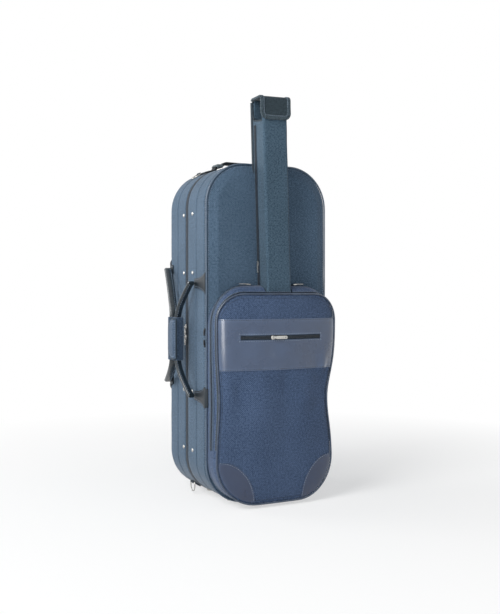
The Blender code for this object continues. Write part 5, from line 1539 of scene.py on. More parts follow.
    def anchor(self, handle: Handle, label: str, level: float) -> None:
        """Dress one leather fan and stitch it down.

        Args:
            handle: the handle that it holds.
            label: upper or lower.
            level: height of its middle.
        """
        half, base_y = handle.half, handle.base_y
        node = f"{half}_handle_{label}_anchor"
        refine([node], f"{half}_half", ANCHOR_LEATHER, "strap_leather", 0.0009)
        tip_y = handle.axis_y + math.copysign(self.anchor_overlap, handle.axis_y - base_y)
        rails = []
        for sign in (-1, 1):
            points, facing = [], []
            for share in np.linspace(0.04, 0.97, 14):
                grow = (self.anchor_base - self.anchor_tip) / 2 * share**self.anchor_flare
                y = tip_y + (base_y - tip_y) * share
                x, out = self.side_at(y, 0.0034)
                points.append((x, y, level + sign * (self.anchor_tip / 2 + grow - 0.0032)))
                facing.append(out)
            rails.append(Rail(points, facing))
        SEAM_ROW.build(f"{node}_stitching", f"{half}_half", rails, "strap_leather")

    def anchor_tail(self, label: str, level: float) -> None:
        """Lead the front fan's wide end over the piping into the seam of the front panel.

        Args:
            label: upper or lower.
            level: height of its middle.
        """
        path = [(x, y, level) for x, y in self.tail_path]

        def section(share: float) -> list[Flat]:
            """The tail's section, a little narrower at its tucked end."""
            wide = 0.0235 - 0.0030 * share
            return [(b, a) for a, b in rounded(0.0011, -wide, wide, 0.0010, 3)]

        form = sweep(path, section, (0, 0, 1))
        Piece(
            f"front_{label}_anchor_tail", "front_half", [ANCHOR_LEATHER], slot="strap_leather"
        ).from_form(form)

    def build(self) -> None:
        """Build both handles, their anchors and the wrap."""
        for handle in self.handles:
            self.strap(handle)
            self.grip(handle)
            for label, way, span in zip(("upper", "lower"), (1, -1), handle.spans):
                level = self.middle + way * span
                self.anchor(handle, label, level)
                if handle.half == "front" and label == "lower":
                    self.anchor_tail(label, level)
        self.wrap()


@dataclass
class TopFittings:
    """The grab handle on top of the case and the two D-rings in their tabs."""

    half_span: float = 0.074
    tail: float = 0.026
    pad: float = 0.021
    rise: float = 0.0215
    end_rise: float = 0.0125
    width: float = 0.024
    thickness: float = 0.0064
    y: float = 0.036
    wire: float = 0.0015
    ring_width: float = 0.028
    ring_length: float = 0.024

    def shoulder(self, x: float) -> float:
        """Height of the case's top at a place across."""
        past = max(0.0, abs(x) - (HALF_WIDTH - CORNER))
        return CASE_HIGH - CORNER + math.sqrt(CORNER**2 - past**2)

    def grab_path(self, low: float, high: float, count: int, lift: float = 0.0) -> list[Point]:
        """Middle line of the webbing loop: sewn down on the shoulders, stiff and raised between them.

        Args:
            low: where it starts across.
            high: where it ends.
            count: how many points.
            lift: extra height.

        Returns:
            The points.
        """
        points = []
        for x in np.linspace(low, high, count):
            step = edge_share(-abs(x), -self.half_span, -self.half_span + 0.009)
            arch = edge_share(-abs(x), -self.half_span + 0.016, -0.040)
            rise = self.end_rise * step + (self.rise - self.end_rise) * arch
            points.append(
                (float(x), self.y, self.shoulder(x) * (1 - arch) + CASE_HIGH * arch + 0.0018 + rise + lift)
            )
        return points

    def grab_handle(self) -> None:
        """Build the webbing loop with its leather end caps and stitches."""
        reach = self.half_span + self.tail
        loop = sweep(
            self.grab_path(-reach, reach, 101), flat_section(self.thickness, self.width, 0.0020), (0, 0, 1)
        )
        Piece(
            "top_webbing_loop", "rear_half", [BLACK_WEBBING], ["top_grab_handle"], "webbing"
        ).from_form(loop)
        for sign, label in ((-1, "left"), (1, "right")):
            ends = sorted((sign * (self.half_span - 0.006), sign * (self.half_span - self.pad)))
            cap = sweep(self.grab_path(*ends, 14, 0.0004), flat_section(0.0096, 0.0282, 0.0034), (0, 0, 1))
            Piece(f"top_{label}_loop_cap", "rear_half", [CAP_LEATHER], slot="strap_leather").from_form(cap)
            rails = []
            for side in (-1, 1):
                rail = self.grab_path(ends[0] + 0.002, ends[1] - 0.002, 10, 0.0048)
                rails.append(Rail([(x, y + side * 0.0096, z) for x, y, z in rail], (0, 0, 1)))
            SEAM_ROW.build(f"top_{label}_cap_stitching", "rear_half", rails, "strap_leather")
            tail = self.grab_path(*sorted((sign * reach, sign * (self.half_span + 0.004))), 8, 0.0026)
            cross = [Rail([(x, y + side * 0.0050, z) for x, y, z in tail], (0, 0, 1)) for side in (-1, 1)]
            SEAM_ROW.build(f"top_{label}_tail_stitching", "rear_half", cross, "webbing")

    def ring(self, name: str, body: str, angle: float, y: float, direction: Vector | None) -> None:
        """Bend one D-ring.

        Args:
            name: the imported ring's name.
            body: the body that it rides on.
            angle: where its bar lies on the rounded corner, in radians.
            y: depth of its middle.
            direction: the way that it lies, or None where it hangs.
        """
        level = CASE_HIGH - CORNER if angle < math.pi else CASE_LOW + CORNER
        normal = Vector((math.cos(angle), 0, math.sin(angle)))
        bar = Vector((LEFT_FACE + CORNER, y, level)) + normal * (CORNER + 0.0003 + self.wire + 0.0019)
        lead = direction or Vector((0, 0, -1))
        across = Vector((0, 1, 0))
        half = self.ring_width / 2 - self.wire
        straight = self.ring_length - self.wire - half
        path = [bar + across * half * share for share in (-0.92, -0.5, 0.0, 0.5, 0.92)]
        path += [bar + across * half + lead * straight * share for share in (0.08, 0.5, 1.0)]
        for turn in np.linspace(0, math.pi, 18)[1:-1]:
            path.append(bar + lead * (straight + half * math.sin(turn)) + across * half * math.cos(turn))
        path += [bar - across * half + lead * straight * share for share in (1.0, 0.5, 0.08)]
        form = sweep(
            [tuple(point) for point in path], round_section(self.wire, 12), across.cross(lead), closed=True
        )
        Piece(f"{name}_wire", body, [NICKEL], [name], "steel").from_form(form)

    def build(self) -> None:
        """Build the grab handle, the rings and their tabs."""
        self.grab_handle()
        top = math.radians(113)
        droop = math.radians(10)
        tangent = Vector((-math.sin(top), 0, math.cos(top)))
        normal = Vector((math.cos(top), 0, math.sin(top)))
        self.ring("top_d_ring", "top_ring", top, 0.058, tangent * math.cos(droop) - normal * math.sin(droop))
        self.ring("bottom_d_ring", "bottom_ring", math.radians(227), 0.030, None)
        refine(["top_ring_tab", "bottom_ring_tab"], "rear_half", WEBBING, "webbing", 0.0005)


@dataclass(frozen=True)
class Crease:
    """A soft fold in a cloth panel, from a point in a direction."""

    x: float
    z: float
    heading: float
    length: float
    width: float
    height: float

    def at(self, x: float, z: float) -> float:
        """How far the fold lifts the cloth at a point of the front view.

        Args:
            x: place across.
            z: height.

        Returns:
            The lift, below zero for a hollow.
        """
        turn = math.radians(self.heading)
        along = (x - self.x) * math.cos(turn) + (z - self.z) * math.sin(turn)
        across = (z - self.z) * math.cos(turn) - (x - self.x) * math.sin(turn)
        fade = math.exp(-((along / self.length) ** 2)) * edge_share(along, -0.02, 0.01)
        return self.height * fade * math.exp(
            -((across / (self.width * (1 + max(0.0, along) / self.length))) ** 2)
        )


@dataclass
class Pocket:
    """The padded front pocket: base, hinged front, vinyl trim, zippers and piping."""

    half_width: float = 0.156
    low: float = 0.012
    high: float = 0.497
    top_radius: float = 0.062
    low_radius: float = 0.100
    depth: float = 0.050
    crowns: tuple[float, float] = (0.006, 0.023)
    crown_rise: tuple[float, float] = (0.080, 0.250)
    puff: float = 0.0056
    wall: float = 0.003
    back_half_width: float = 0.158
    back_high: float = 0.520
    back_radius: float = 0.100
    swell: float = 0.003
    swell_share: float = 0.62
    waists: tuple[float, float] = (0.006, 0.027)
    waist_level: float = 0.250
    waist_height: float = 0.080
    low_draw: float = 0.35
    split: float = 0.022
    tray_high: float = 0.122
    tray_split: float = 0.048
    gap: float = 0.0006
    notch: tuple[float, float] = (-0.0363, 0.0363)
    notch_low: float = 0.435
    tube_front: float = -0.1804
    band: tuple[float, float] = (0.3225, 0.441)
    window: tuple[float, float] = (-0.105, 0.106)
    window_level: float = 0.398
    window_half: float = 0.0056
    patch: tuple[float, float] = (0.092, 0.104)
    band_seam: float = 0.0025
    window_seam: float = 0.0024
    patch_seam: float = 0.003
    seam_share: float = 0.968
    piping_radius: float = 0.0022
    panel_shares: tuple[float, ...] = (
        0.995, 0.985, 0.970, 0.955, 0.935, 0.91, 0.87, 0.82, 0.76, 0.69, 0.61, 0.53, 0.44, 0.35, 0.25, 0.14,
        0.04
    )
    creases: tuple[Crease, ...] = (
        Crease(0.128, 0.252, 160, 0.095, 0.009, -0.0080), Crease(0.130, 0.262, 118, 0.085, 0.008, -0.0062),
        Crease(0.128, 0.243, 205, 0.085, 0.010, -0.0062), Crease(0.112, 0.318, 68, 0.100, 0.011, 0.0062),
        Crease(0.126, 0.300, 84, 0.090, 0.008, -0.0045), Crease(-0.138, 0.300, 285, 0.120, 0.012, 0.0050),
        Crease(-0.104, 0.292, 264, 0.150, 0.015, -0.0050), Crease(-0.050, 0.310, 268, 0.170, 0.016, 0.0045),
        Crease(0.010, 0.320, 272, 0.180, 0.017, -0.0050), Crease(0.075, 0.300, 262, 0.130, 0.016, 0.0045),
        Crease(-0.020, 0.360, 92, 0.070, 0.018, -0.0035), Crease(-0.090, 0.420, 262, 0.090, 0.014, -0.0030)
    )

    def drawn_in(self, x: float, z: float, half_width: float, amount: float) -> float:
        """Draw a point in at the waist, more on the right than on the left.

        Args:
            x: place across.
            z: height.
            half_width: half width of the outline that the point is on.
            amount: 1 for the whole draw.

        Returns:
            The new place across.
        """
        bell = math.exp(-(((z - self.waist_level) / self.waist_height) ** 2))
        if x > 0 and z < self.waist_level:
            bell += (1 - bell) * self.low_draw
        pull = self.waists[1] if x > 0 else self.waists[0]
        return x - math.copysign(pull * amount * bell * abs(x) / half_width, x)

    def ring(self, half_width: float, high: float, top_radius: float, waist: float) -> list[Flat]:
        """An outline of the pocket in front view, with points along its sides.

        Args:
            half_width: half its width.
            high: its top.
            top_radius: radius of its upper corners.
            waist: how much it draws in at the waist.

        Returns:
            The outline's points.
        """
        ring = rounded(half_width, self.low, high, self.low_radius, 14, runs=(22, 14), top_radius=top_radius)
        return [(self.drawn_in(x, z, half_width, waist), z) for x, z in ring]

    def __post_init__(self) -> None:
        """Work out the outlines that everything on the pocket follows."""
        self.front_ring = self.ring(self.half_width, self.high, self.top_radius, 1.0)
        self.back_ring = self.ring(self.back_half_width, self.back_high, self.back_radius, 0.0)
        self.middle = (self.low + self.high) / 2
        angles = [math.atan2(z - self.middle, x) for x, z in self.front_ring]
        reach = [math.hypot(x, z - self.middle) for x, z in self.front_ring]
        order = np.argsort(angles)
        self.edge_angles = np.array(angles)[order]
        self.edge_reach = np.array(reach)[order]

    def stand(self, x: float, z: float) -> float:
        """How far the pocket's front stands out from the case at a point.

        Args:
            x: place across.
            z: height.

        Returns:
            The distance.
        """
        ramp = edge_share(z, *self.crown_rise)
        crown = self.crowns[0] + (self.crowns[1] - self.crowns[0]) * ramp
        return self.depth + crown * (1 - (x / self.half_width) ** 2)

    def share(self, x: float, z: float) -> float:
        """Where a point lies between the panel's middle (0) and its edge (1).

        Args:
            x: place across.
            z: height.

        Returns:
            The share.
        """
        angle = math.atan2(z - self.middle, x)
        reach = np.interp(angle, self.edge_angles, self.edge_reach, period=2 * math.pi)
        return math.hypot(x, z - self.middle) / float(reach)

    def panel(self, x: float, z: float, share: float | None = None) -> float:
        """Depth of the crowned and creased front panel at a point.

        Args:
            x: place across.
            z: height.
            share: where the point lies between middle and edge, if that is known.

        Returns:
            The y of the panel.
        """
        share = self.share(x, z) if share is None else share
        fold = sum(crease.at(x, z) for crease in self.creases)
        fold += 0.0014 * ripple(x, 0.3, z * 0.6, 0.060)
        settled = 1 - share**8
        return FRONT_FACE - self.stand(x, z) - self.puff * (1 - share**18) - fold * settled

    def gusset(self, index: int, share: float) -> Point:
        """A point on the gusset at a share of its depth from the case to the panel's edge.

        Args:
            index: number of the outline's point.
            share: 0 at the case, 1 at the panel's edge.

        Returns:
            The point.
        """
        back_x, back_z = self.back_ring[index]
        front_x, front_z = self.front_ring[index]
        bulge = bent(share, self.swell_share, 1.0, 0.0) * self.swell
        drop = bent(share, self.swell_share, self.swell_share**3, 1.0)
        x = back_x + (front_x - back_x) * share
        z = back_z + (front_z - back_z) * drop
        outward = Vector((x, z - self.middle)).normalized()
        fold = 0.0014 * math.exp(-(((share - 0.83) / 0.045) ** 2)) + 0.0006 * math.exp(
            -(((share - 0.56) / 0.04) ** 2)
        )
        bulge -= fold * (1 if z > self.tray_high else 0.3)
        y = FRONT_FACE - self.stand(front_x, front_z) * share
        return x + outward.x * bulge, y, max(self.low - self.swell / 2, z + outward.y * bulge)

    def bag(self) -> bmesh.types.BMesh:
        """The whole pocket as one open skin, cut along the lines where base and front part.

        Returns:
            The skin, with its faces outwards.
        """
        count = len(self.front_ring)
        rings = [[self.gusset(index, share) for index in range(count)] for share in np.linspace(-0.05, 1, 24)]
        for share in self.panel_shares:
            places = shrunk(self.front_ring, share, (0.0, self.middle))
            rings.append([(x, self.panel(x, z, share), z) for x, z in places])
        maker = loft(rings, caps=(False, True)).maker(merge=False)
        bmesh.ops.recalc_face_normals(maker, faces=maker.faces)
        front = min(maker.faces, key=lambda face: face.calc_center_median().y)
        if front.normal.y > 0:
            bmesh.ops.reverse_faces(maker, faces=maker.faces)
        planes = [
            ((0, FRONT_FACE - cut, 0), (0, 1, 0)) for split in (self.split, self.tray_split)
            for cut in (split, split + self.gap)
        ]
        planes += [((0, 0, self.tray_high), (0, 0, 1)), ((0, 0, self.tray_high + self.gap), (0, 0, 1))]
        planes += [((edge, 0, 0), (1, 0, 0)) for edge in self.notch]
        planes += [((0, 0, self.notch_low), (0, 0, 1)), ((0, self.tube_front, 0), (0, 1, 0))]
        for place, normal in planes:
            everything = maker.verts[:] + maker.edges[:] + maker.faces[:]
            bmesh.ops.bisect_plane(maker, geom=everything, plane_co=place, plane_no=normal, dist=0.00002)
        return maker

    def half(self, of_base: bool) -> bmesh.types.BMesh:
        """The base or the hinged front, with its wall.

        Args:
            of_base: whether the base is wanted.

        Returns:
            The closed mesh.
        """
        maker = self.bag()
        unwanted = []
        for face in maker.faces:
            x, y, z = face.calc_center_median()
            notched = self.notch[0] < x < self.notch[1] and y > self.tube_front and z > self.notch_low
            if of_base:
                split = self.split if z > self.tray_high else self.tray_split
                kept = y > FRONT_FACE - split
            else:
                split = self.split if z > self.tray_high + self.gap else self.tray_split
                kept = y < FRONT_FACE - split - self.gap
            if notched or not kept:
                unwanted.append(face)
        bmesh.ops.delete(maker, geom=unwanted, context="FACES")
        return thicken(maker, self.wall * 0.8)

    def drape(
        self, name: str, places: list[list[Flat]], finish: Finish, node: str, slot: str,
        thickness: float = 0.0011, stand: float = 0.0004, hole: Callable[[float, float], bool] | None = None
    ) -> None:
        """Sew a sheet onto the panel.

        Args:
            name: the new piece's name.
            places: rows of points in front view.
            finish: the sheet's finish.
            node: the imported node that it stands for.
            slot: the record's material slot.
            thickness: the sheet's thickness.
            stand: clearance from the panel.
            hole: says whether the middle of a face falls in an opening.
        """
        form = sheet([[(x, self.panel(x, z) - stand, z) for x, z in row] for row in places])
        if hole:
            middles = [
                sum((Vector(form.points[index]) for index in face), Vector()) / 4 for face in form.faces
            ]
            kept = [face for face, middle in zip(form.faces, middles) if not hole(middle.x, middle.z)]
            form = Form().add(form.points, kept)
        maker = walled(form, thickness, outward=True)
        Piece(name, "pocket_front", [finish], [node] if node else [], slot, sharp_from=50).from_bmesh(maker)

    def edge_x(self, z: float, sign: int, share: float = 0.986) -> float:
        """Where the panel's edge is at a height, on the left (-1) or right (1).

        Args:
            z: height.
            sign: the side.
            share: where between the panel's middle and edge it is read.

        Returns:
            The place across.
        """
        side = sorted((b, a) for a, b in self.front_ring if a * sign > 0)
        level = self.middle + (z - self.middle) / share
        return share * float(np.interp(level, [b for b, _ in side], [a for _, a in side]))

    def trim(self) -> None:
        """Sew on the vinyl band with its zipper window, and the two corner patches."""
        edges = sorted(
            {
                *np.linspace(*self.band, 20), self.window_level - self.window_half,
                self.window_level + self.window_half
            }
        )
        rows = []
        for z in edges:
            ends = self.edge_x(z, -1), self.edge_x(z, 1)
            left = np.linspace(ends[0], self.window[0], 12)
            mid = np.linspace(self.window[0], self.window[1], 30)
            right = np.linspace(self.window[1], ends[1], 9)
            rows.append([(float(x), float(z)) for x in (*left, *mid[1:-1], *right)])

        def in_window(x: float, z: float) -> bool:
            """Whether a point lies in the zipper's window."""
            return self.window[0] < x < self.window[1] and abs(z - self.window_level) < self.window_half

        self.drape("band_sheet", rows, BAND_VINYL, "vinyl_band", "vinyl", hole=in_window)
        tape = [
            [
                (float(x), self.window_level + rise)
                for x in np.linspace(self.window[0] - 0.003, self.window[1] + 0.003, 34)
            ]
            for rise in (-0.0078, -0.004, 0.0, 0.004, 0.0078)
        ]
        self.drape("window_tape", tape, TAPE, "window_zipper", "zipper_tape", 0.0004, 0.0001)
        for sign, label in ((-1, "left"), (1, "right")):
            rows = []
            for level in np.linspace(0.004, 1, 26):
                z = self.low + self.patch[1] * level
                inner = sign * (self.half_width - self.patch[0] * math.sqrt(max(0.0, 1 - level**2)))
                inner = self.drawn_in(inner, z, self.half_width, 1.0)
                outer = self.edge_x(z, sign)
                if abs(inner) < abs(outer) - 0.0006:
                    rows.append([(float(x), z) for x in np.linspace(*sorted((inner, outer)), 12)])
            self.drape(f"patch_{label}", rows, PATCH_VINYL, f"vinyl_corner_{label}", "vinyl")

    def laid(self, places: Sequence[Flat], lift: float = 0.0016) -> Rail:
        """A rail on the panel through points in front view."""
        return Rail([(x, self.panel(x, z) - lift, z) for x, z in places], (0, -1, 0))

    def stitches(self) -> None:
        """Stitch the band, the window, the patches and the panel's edge."""
        rails = []
        for z in (self.band[0] + self.band_seam, self.band[1] - self.band_seam):
            xs = np.linspace(self.edge_x(z, -1) + 0.002, self.edge_x(z, 1) - 0.002, 50)
            rails.append(self.laid([(float(x), z) for x in xs]))
        for sign in (-1, 1):
            level = self.window_level + sign * (self.window_half + self.window_seam)
            xs = np.linspace(self.window[0] - 0.002, self.window[1] + 0.002, 40)
            rails.append(self.laid([(float(x), level) for x in xs]))
        for x in (self.window[0] - self.window_seam, self.window[1] + self.window_seam):
            zs = np.linspace(self.window_level - 0.008, self.window_level + 0.008, 8)
            rails.append(self.laid([(x, float(z)) for z in zs]))
        for sign in (-1, 1):
            curve = []
            for turn in np.linspace(0.10, 1.50, 24):
                x = sign * (self.half_width - (self.patch[0] - self.patch_seam) * math.cos(turn))
                z = self.low + (self.patch[1] - self.patch_seam) * math.sin(turn)
                x = self.drawn_in(x, z, self.half_width, 1.0)
                if self.share(x, z) < 0.97:
                    curve.append((x, z))
            rails.append(self.laid(curve))
        DARK_SEAM_ROW.build("pocket_band_stitching", "pocket_front", rails[:2], "vinyl")
        SEAM_ROW.build("pocket_trim_stitching", "pocket_front", rails[2:], "vinyl")
        places = shrunk(self.front_ring, self.seam_share, (0.0, self.middle))
        rail = Rail([(x, self.panel(x, z) - 0.0002, z) for x, z in places], (0, -1, 0), True)
        DARK_SEAM_ROW.build("pocket_edge_stitching", "pocket_front", [rail], "pocket_fabric")
        xs = np.linspace(self.window[0], self.window[1], 60)
        coil = [
            self.laid([(float(x), self.window_level + rise) for x in xs], 0.0007)
            for rise in (-0.0016, 0.0016)
        ]
        COIL_ROW.build("window_coil", "pocket_front", coil, "zipper_tape")

    def zipper(self) -> None:
        """Run the pocket's zipper round the gusset, half on the base and half on the front."""
        for side, body in ((1, "front_half"), (-1, "pocket_front")):
            label = "base" if side > 0 else "front"
            tapes, coils = Form(), []
            for run in self.zipper_runs():
                for offset, rise, into in ((0.0058, 0.0003, tapes), (0.0017, 0.0010, coils)):
                    points, facing = [], []
                    for index in run:
                        front_x, front_z = self.front_ring[index]
                        reach = self.split + self.gap / 2 - side * offset
                        x, y, z = self.gusset(index, reach / self.stand(front_x, front_z))
                        out = out_of(self.back_ring, index)
                        points.append((x + out.x * rise, y, z + out.z * rise))
                        facing.append(tuple(out))
                    if into is tapes:
                        section = flat_section(0.0009, 0.0112, 0.0003, 2)
                        tapes.take(sweep(points, section, lambda number: facing[number]))
                    else:
                        coils.append(Rail(points, facing))
            Piece(f"pocket_{label}_tape", body, [POCKET_TAPE], slot="zipper_tape").from_form(tapes)
            COIL_ROW.build(f"pocket_{label}_coil", body, coils, "zipper_tape")
        self.rim()

    def rim(self) -> None:
        """Bind the gusset near the panel with a dark strip and a row of stitches, over the top too."""
        strip, line, facing = [], [], []
        for index, (_, z) in enumerate(self.back_ring):
            if z > self.tray_high + 0.004:
                stand = self.stand(*self.front_ring[index])
                out = out_of(self.back_ring, index)
                for path, back, rise in ((strip, 0.0068, 0.0005), (line, 0.0095, 0.0011)):
                    x, y, level = self.gusset(index, 1 - back / stand)
                    path.append((x + out.x * rise, y, level + out.z * rise))
                facing.append(tuple(out))
        form = sweep(strip, flat_section(0.0010, 0.0074, 0.0003, 2), lambda index: facing[index])
        Piece("pocket_rim_strip", "pocket_front", [BINDING], slot="pocket_fabric").from_form(form)
        SEAM_ROW.build("pocket_rim_stitching", "pocket_front", [Rail(line, facing)], "pocket_fabric")

    def hinge_cloth(self) -> None:
        """Lay the cloth under the pocket's bottom, along the line where the front opens."""
        bottom = [
            index for index, (x, z) in enumerate(self.back_ring) if z < self.low + 0.004 and abs(x) < 0.085
        ]
        bottom.sort(key=lambda index: self.back_ring[index][0])
        hinge = self.tray_split + self.gap / 2
        rows = []
        for reach in np.linspace(hinge - 0.012, hinge + 0.0052, 14):
            row = [self.gusset(index, float(reach) / self.stand(*self.front_ring[index])) for index in bottom]
            rows.append([(x, y, z - 0.0002) for x, y, z in row])
        maker = walled(sheet(rows, turned=True), 0.0008, outward=True)
        cloth = Piece("pocket_hinge_cloth", "", [POCKET_NYLON], slot="pocket_fabric").from_bmesh(maker)
        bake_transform(cloth)

    def zipper_runs(self) -> list[list[int]]:
        """Outline points that each length of the gusset's zipper passes, up one side and down the other.

        Returns:
            The points' numbers, right side first.
        """
        runs: list[list[int]] = [[], []]
        for index, (x, z) in enumerate(self.back_ring):
            clear = x > self.notch[1] + 0.002 or x < self.notch[0] - 0.002
            if z > self.tray_high + 0.004 and clear:
                runs[0 if x > 0 else 1].append(index)
        return runs

    def piping(self) -> None:
        """Run the piping round the panel's edge."""
        path = []
        for index, (x, z) in enumerate(self.front_ring):
            out = out_of(self.front_ring, index) * 0.0018
            path.append((x + out.x, FRONT_FACE - self.stand(x, z) - 0.0016, z + out.z))
        form = sweep(path, round_section(self.piping_radius, 12), (0, -1, 0), closed=True)
        Piece(
            "pocket_edge_piping", "pocket_front", [POCKET_PIPING], ["pocket_piping"], "piping"
        ).from_form(form)

    def build(self) -> None:
        """Build the base, the front, its trim and its zippers."""
        base = Piece("pocket_base_cloth", "front_half", [POCKET_NYLON], ["pocket_base"], "pocket_fabric", 45)
        base.from_bmesh(self.half(True))
        lid = Piece("pocket_front_cloth", "pocket_front", [POCKET_NYLON], ["pocket_lid"], "pocket_fabric", 45)
        lid.from_bmesh(self.half(False))
        self.piping()
        self.trim()
        self.stitches()
        self.zipper()
        self.hinge_cloth()
        for side in ("left", "right"):
            refine([f"pocket_slider_{side}"], f"{side}_pocket_slider", NICKEL, "steel")
        refine(["window_slider"], "band_slider", NICKEL, "steel")
        refine(["window_pull"], "band_pull", NICKEL, "steel", 0.0003)


def bent(share: float, kink: float, value: float, last: float, soft: float = 0.12) -> float:
    """Go straight to a value at the kink and straight on to the last value, with the kink rounded off.

    Args:
        share: where to read the line, 0 to 1.
        kink: where it bends.
        value: its value there.
        last: its value at 1.
        soft: half width of the rounding.

    Returns:
        The line's value.
    """
    first, second = value / kink, (last - value) / (1 - kink)
    straight = first * share if share < kink else value + second * (share - kink)
    near = max(0.0, 1 - abs(share - kink) / soft)
    return straight + (second - first) * soft * near**2 / 4


@dataclass
class Quiver:
    """The square bow tube with its binding, side zipper and flap. It leans a little, as it is sewn on."""

    half: float = 0.032
    back: float = -0.1208
    depth: float = 0.059
    wall: float = 0.0025
    rounding: float = 0.006
    low: float = 0.215
    side_tops: tuple[float, float] = (0.9045, 0.9125)
    front_top: float = 0.942
    back_top: float = 0.959
    lean: float = math.radians(1.6)
    lean_level: float = 0.520
    zipper_depth: float = 0.016
    zipper_high: float = 0.898
    seam_high: float = 0.790
    flap_half: float = 0.039
    flap_drop: float = 0.054
    flap_thickness: float = 0.0022
    flap_corner: float = 0.016
    fold: float = 0.006
    levels: int = 26

    def __post_init__(self) -> None:
        """Work out the lean and the stretches of the flap."""
        self.front = self.back - self.depth
        pivot = Matrix.Translation((0, self.back, self.lean_level))
        self.leaning = pivot @ Matrix.Rotation(-self.lean, 4, "Y") @ pivot.inverted()
        self.flap_level = self.back_top + 0.0003
        self.flap_face = self.front - 0.0006
        self.over = self.back - self.flap_face - self.fold
        self.turn = self.fold * math.pi / 2
        self.down = self.flap_drop - self.flap_thickness - self.fold
        self.flap_end = self.over + self.turn + self.down

    def top(self, y: float) -> float:
        """Height of the mouth's edge at a depth.

        Args:
            y: the depth.

        Returns:
            The height.
        """
        side = float(np.interp(y, (self.front, self.back), self.side_tops))
        ahead = edge_share(-y, -(self.front + 0.0080), -(self.front + 0.0022))
        behind = edge_share(y, self.back - 0.0080, self.back - 0.0022)
        return side + (self.front_top - side) * ahead + (self.back_top - side) * behind

    def ring(self, inset: float, level: Callable[[float], float], slack: float = 0.0) -> list[Point]:
        """One ring of the tube.

        Args:
            inset: how far it lies in from the outer face.
            level: gives its height at a depth.
            slack: how far the cloth may wander from flat.

        Returns:
            The ring's points.
        """
        outer = rounded(self.half, self.front, self.back, self.rounding, 7, runs=(12, 10))
        step = 0.002
        inner = rounded(
            self.half - step, self.front + step, self.back - step, self.rounding - step, 7, runs=(12, 10)
        )
        points = []
        for (x, y), (a, b) in zip(outer, inner):
            out_x, out_y = (x - a) / step, (y - b) / step
            z = level(y)
            move = slack * ripple(x, y, z, 0.060, 3.0) - inset
            padded = self.back - 0.0098 if inset >= self.wall else self.back
            points.append((x + out_x * move, min(y + out_y * move, padded), z))
        return points

    def tube(self) -> None:
        """Build the tube with its inner skin and the seam that holds it to the front."""
        rings = [
            self.ring(0.0040, lambda y: self.low), self.ring(0.0012, lambda y: self.low + 0.0004),
            self.ring(0.0, lambda y: self.low + 0.0020)
        ]
        base = self.low + 0.0020
        for step in range(1, self.levels + 1):
            share = step / self.levels
            slack = 0.0009 * edge_share(share, 0.0, 0.08) * (1 - edge_share(share, 0.94, 1.0))
            rings.append(self.ring(0.0, lambda y, s=share: base + (self.top(y) - 0.0006 - base) * s, slack))
        rings += [self.ring(0.0006, self.top), self.ring(self.wall - 0.0006, self.top)]
        inner_levels = (lambda y: self.top(y) - 0.0006, lambda y: 0.60, lambda y: self.low + self.wall)
        rings += [self.ring(self.wall, level) for level in inner_levels]
        form = loft(rings)
        for index, face in enumerate(form.faces):
            places = [form.points[corner] for corner in face]
            if len(face) == 4 and all(
                x < -self.half + 0.0032 and y < self.back - 0.0015 for x, y, _ in places
            ):
                form.groups[index] = 1
            inside = all(abs(x) < self.half - 0.0016 and y > self.front + 0.0016 for x, y, _ in places)
            if len(face) == 4 and inside and all(y < self.back - 0.0016 for _, y, _ in places):
                form.groups[index] = 2
        strip = rounded(0.022, FRONT_FACE - 0.0035, FRONT_FACE + 0.0010, 0.0006, 2)
        form.take(loft([[(x, y, z) for x, y in strip] for z in (self.low + 0.001, self.seam_high)]))
        piece = Piece(
            "bow_tube", "front_half", [TUBE_NYLON, TUBE_SIDE, LINING], ["quiver_tube"], "tube_fabric",
            sharp_from=50
        )
        piece.from_form(form.moved(self.leaning))

    def leaned(self, points: Sequence[Point], facing: Point) -> Rail:
        """A rail carried by the tube's lean."""
        turned = self.leaning.to_3x3() @ Vector(facing)
        return Rail([tuple(self.leaning @ Vector(point)) for point in points], tuple(turned))

    def edges(self) -> None:
        """Bind the tube's back edges and sew the zipper down its left face."""
        levels = np.linspace(self.low + 0.004, self.back_top - 0.004, 26)
        binding = Form()
        for sign in (-1, 1):
            path = [(sign * (self.half + 0.0003), self.back - 0.0012, float(z)) for z in levels]
            binding.take(sweep(path, flat_section(0.0034, 0.0090, 0.0012), (sign, 0, 0)))
        mouth = [(x, y, z - 0.0008) for x, y, z in self.ring(self.wall / 2, self.top)]
        binding.take(sweep(mouth, flat_section(0.0042, 0.0040, 0.0014), (0, 0, 1), closed=True))
        piece = Piece("tube_binding", "front_half", [BINDING], slot="tube_fabric")
        piece.from_form(binding.moved(self.leaning))
        y = self.back - self.zipper_depth
        x = -self.half - 0.0005
        path = [(x, y, float(z)) for z in np.linspace(self.low + 0.012, self.zipper_high, 30)]
        tape = sweep(path, flat_section(0.0007, 0.0120, 0.0003, 2), (-1, 0, 0))
        tape_piece = Piece("tube_zipper_tape", "front_half", [TAPE], slot="zipper_tape")
        tape_piece.from_form(tape.moved(self.leaning))
        for row, kind, out, apart in (
            (COIL_ROW, "coil", 0.0005, 0.0014), (DARK_SEAM_ROW, "stitching", 0.0004, 0.0048)
        ):
            rails = [
                self.leaned([(x - out, y + side * apart, level) for _, _, level in path], (-1, 0, 0))
                for side in (-1, 1)
            ]
            row.build(f"tube_zipper_{kind}", "front_half", rails, "zipper_tape")
        refine(["quiver_zip_slider"], "quiver_slider", NICKEL, "steel")

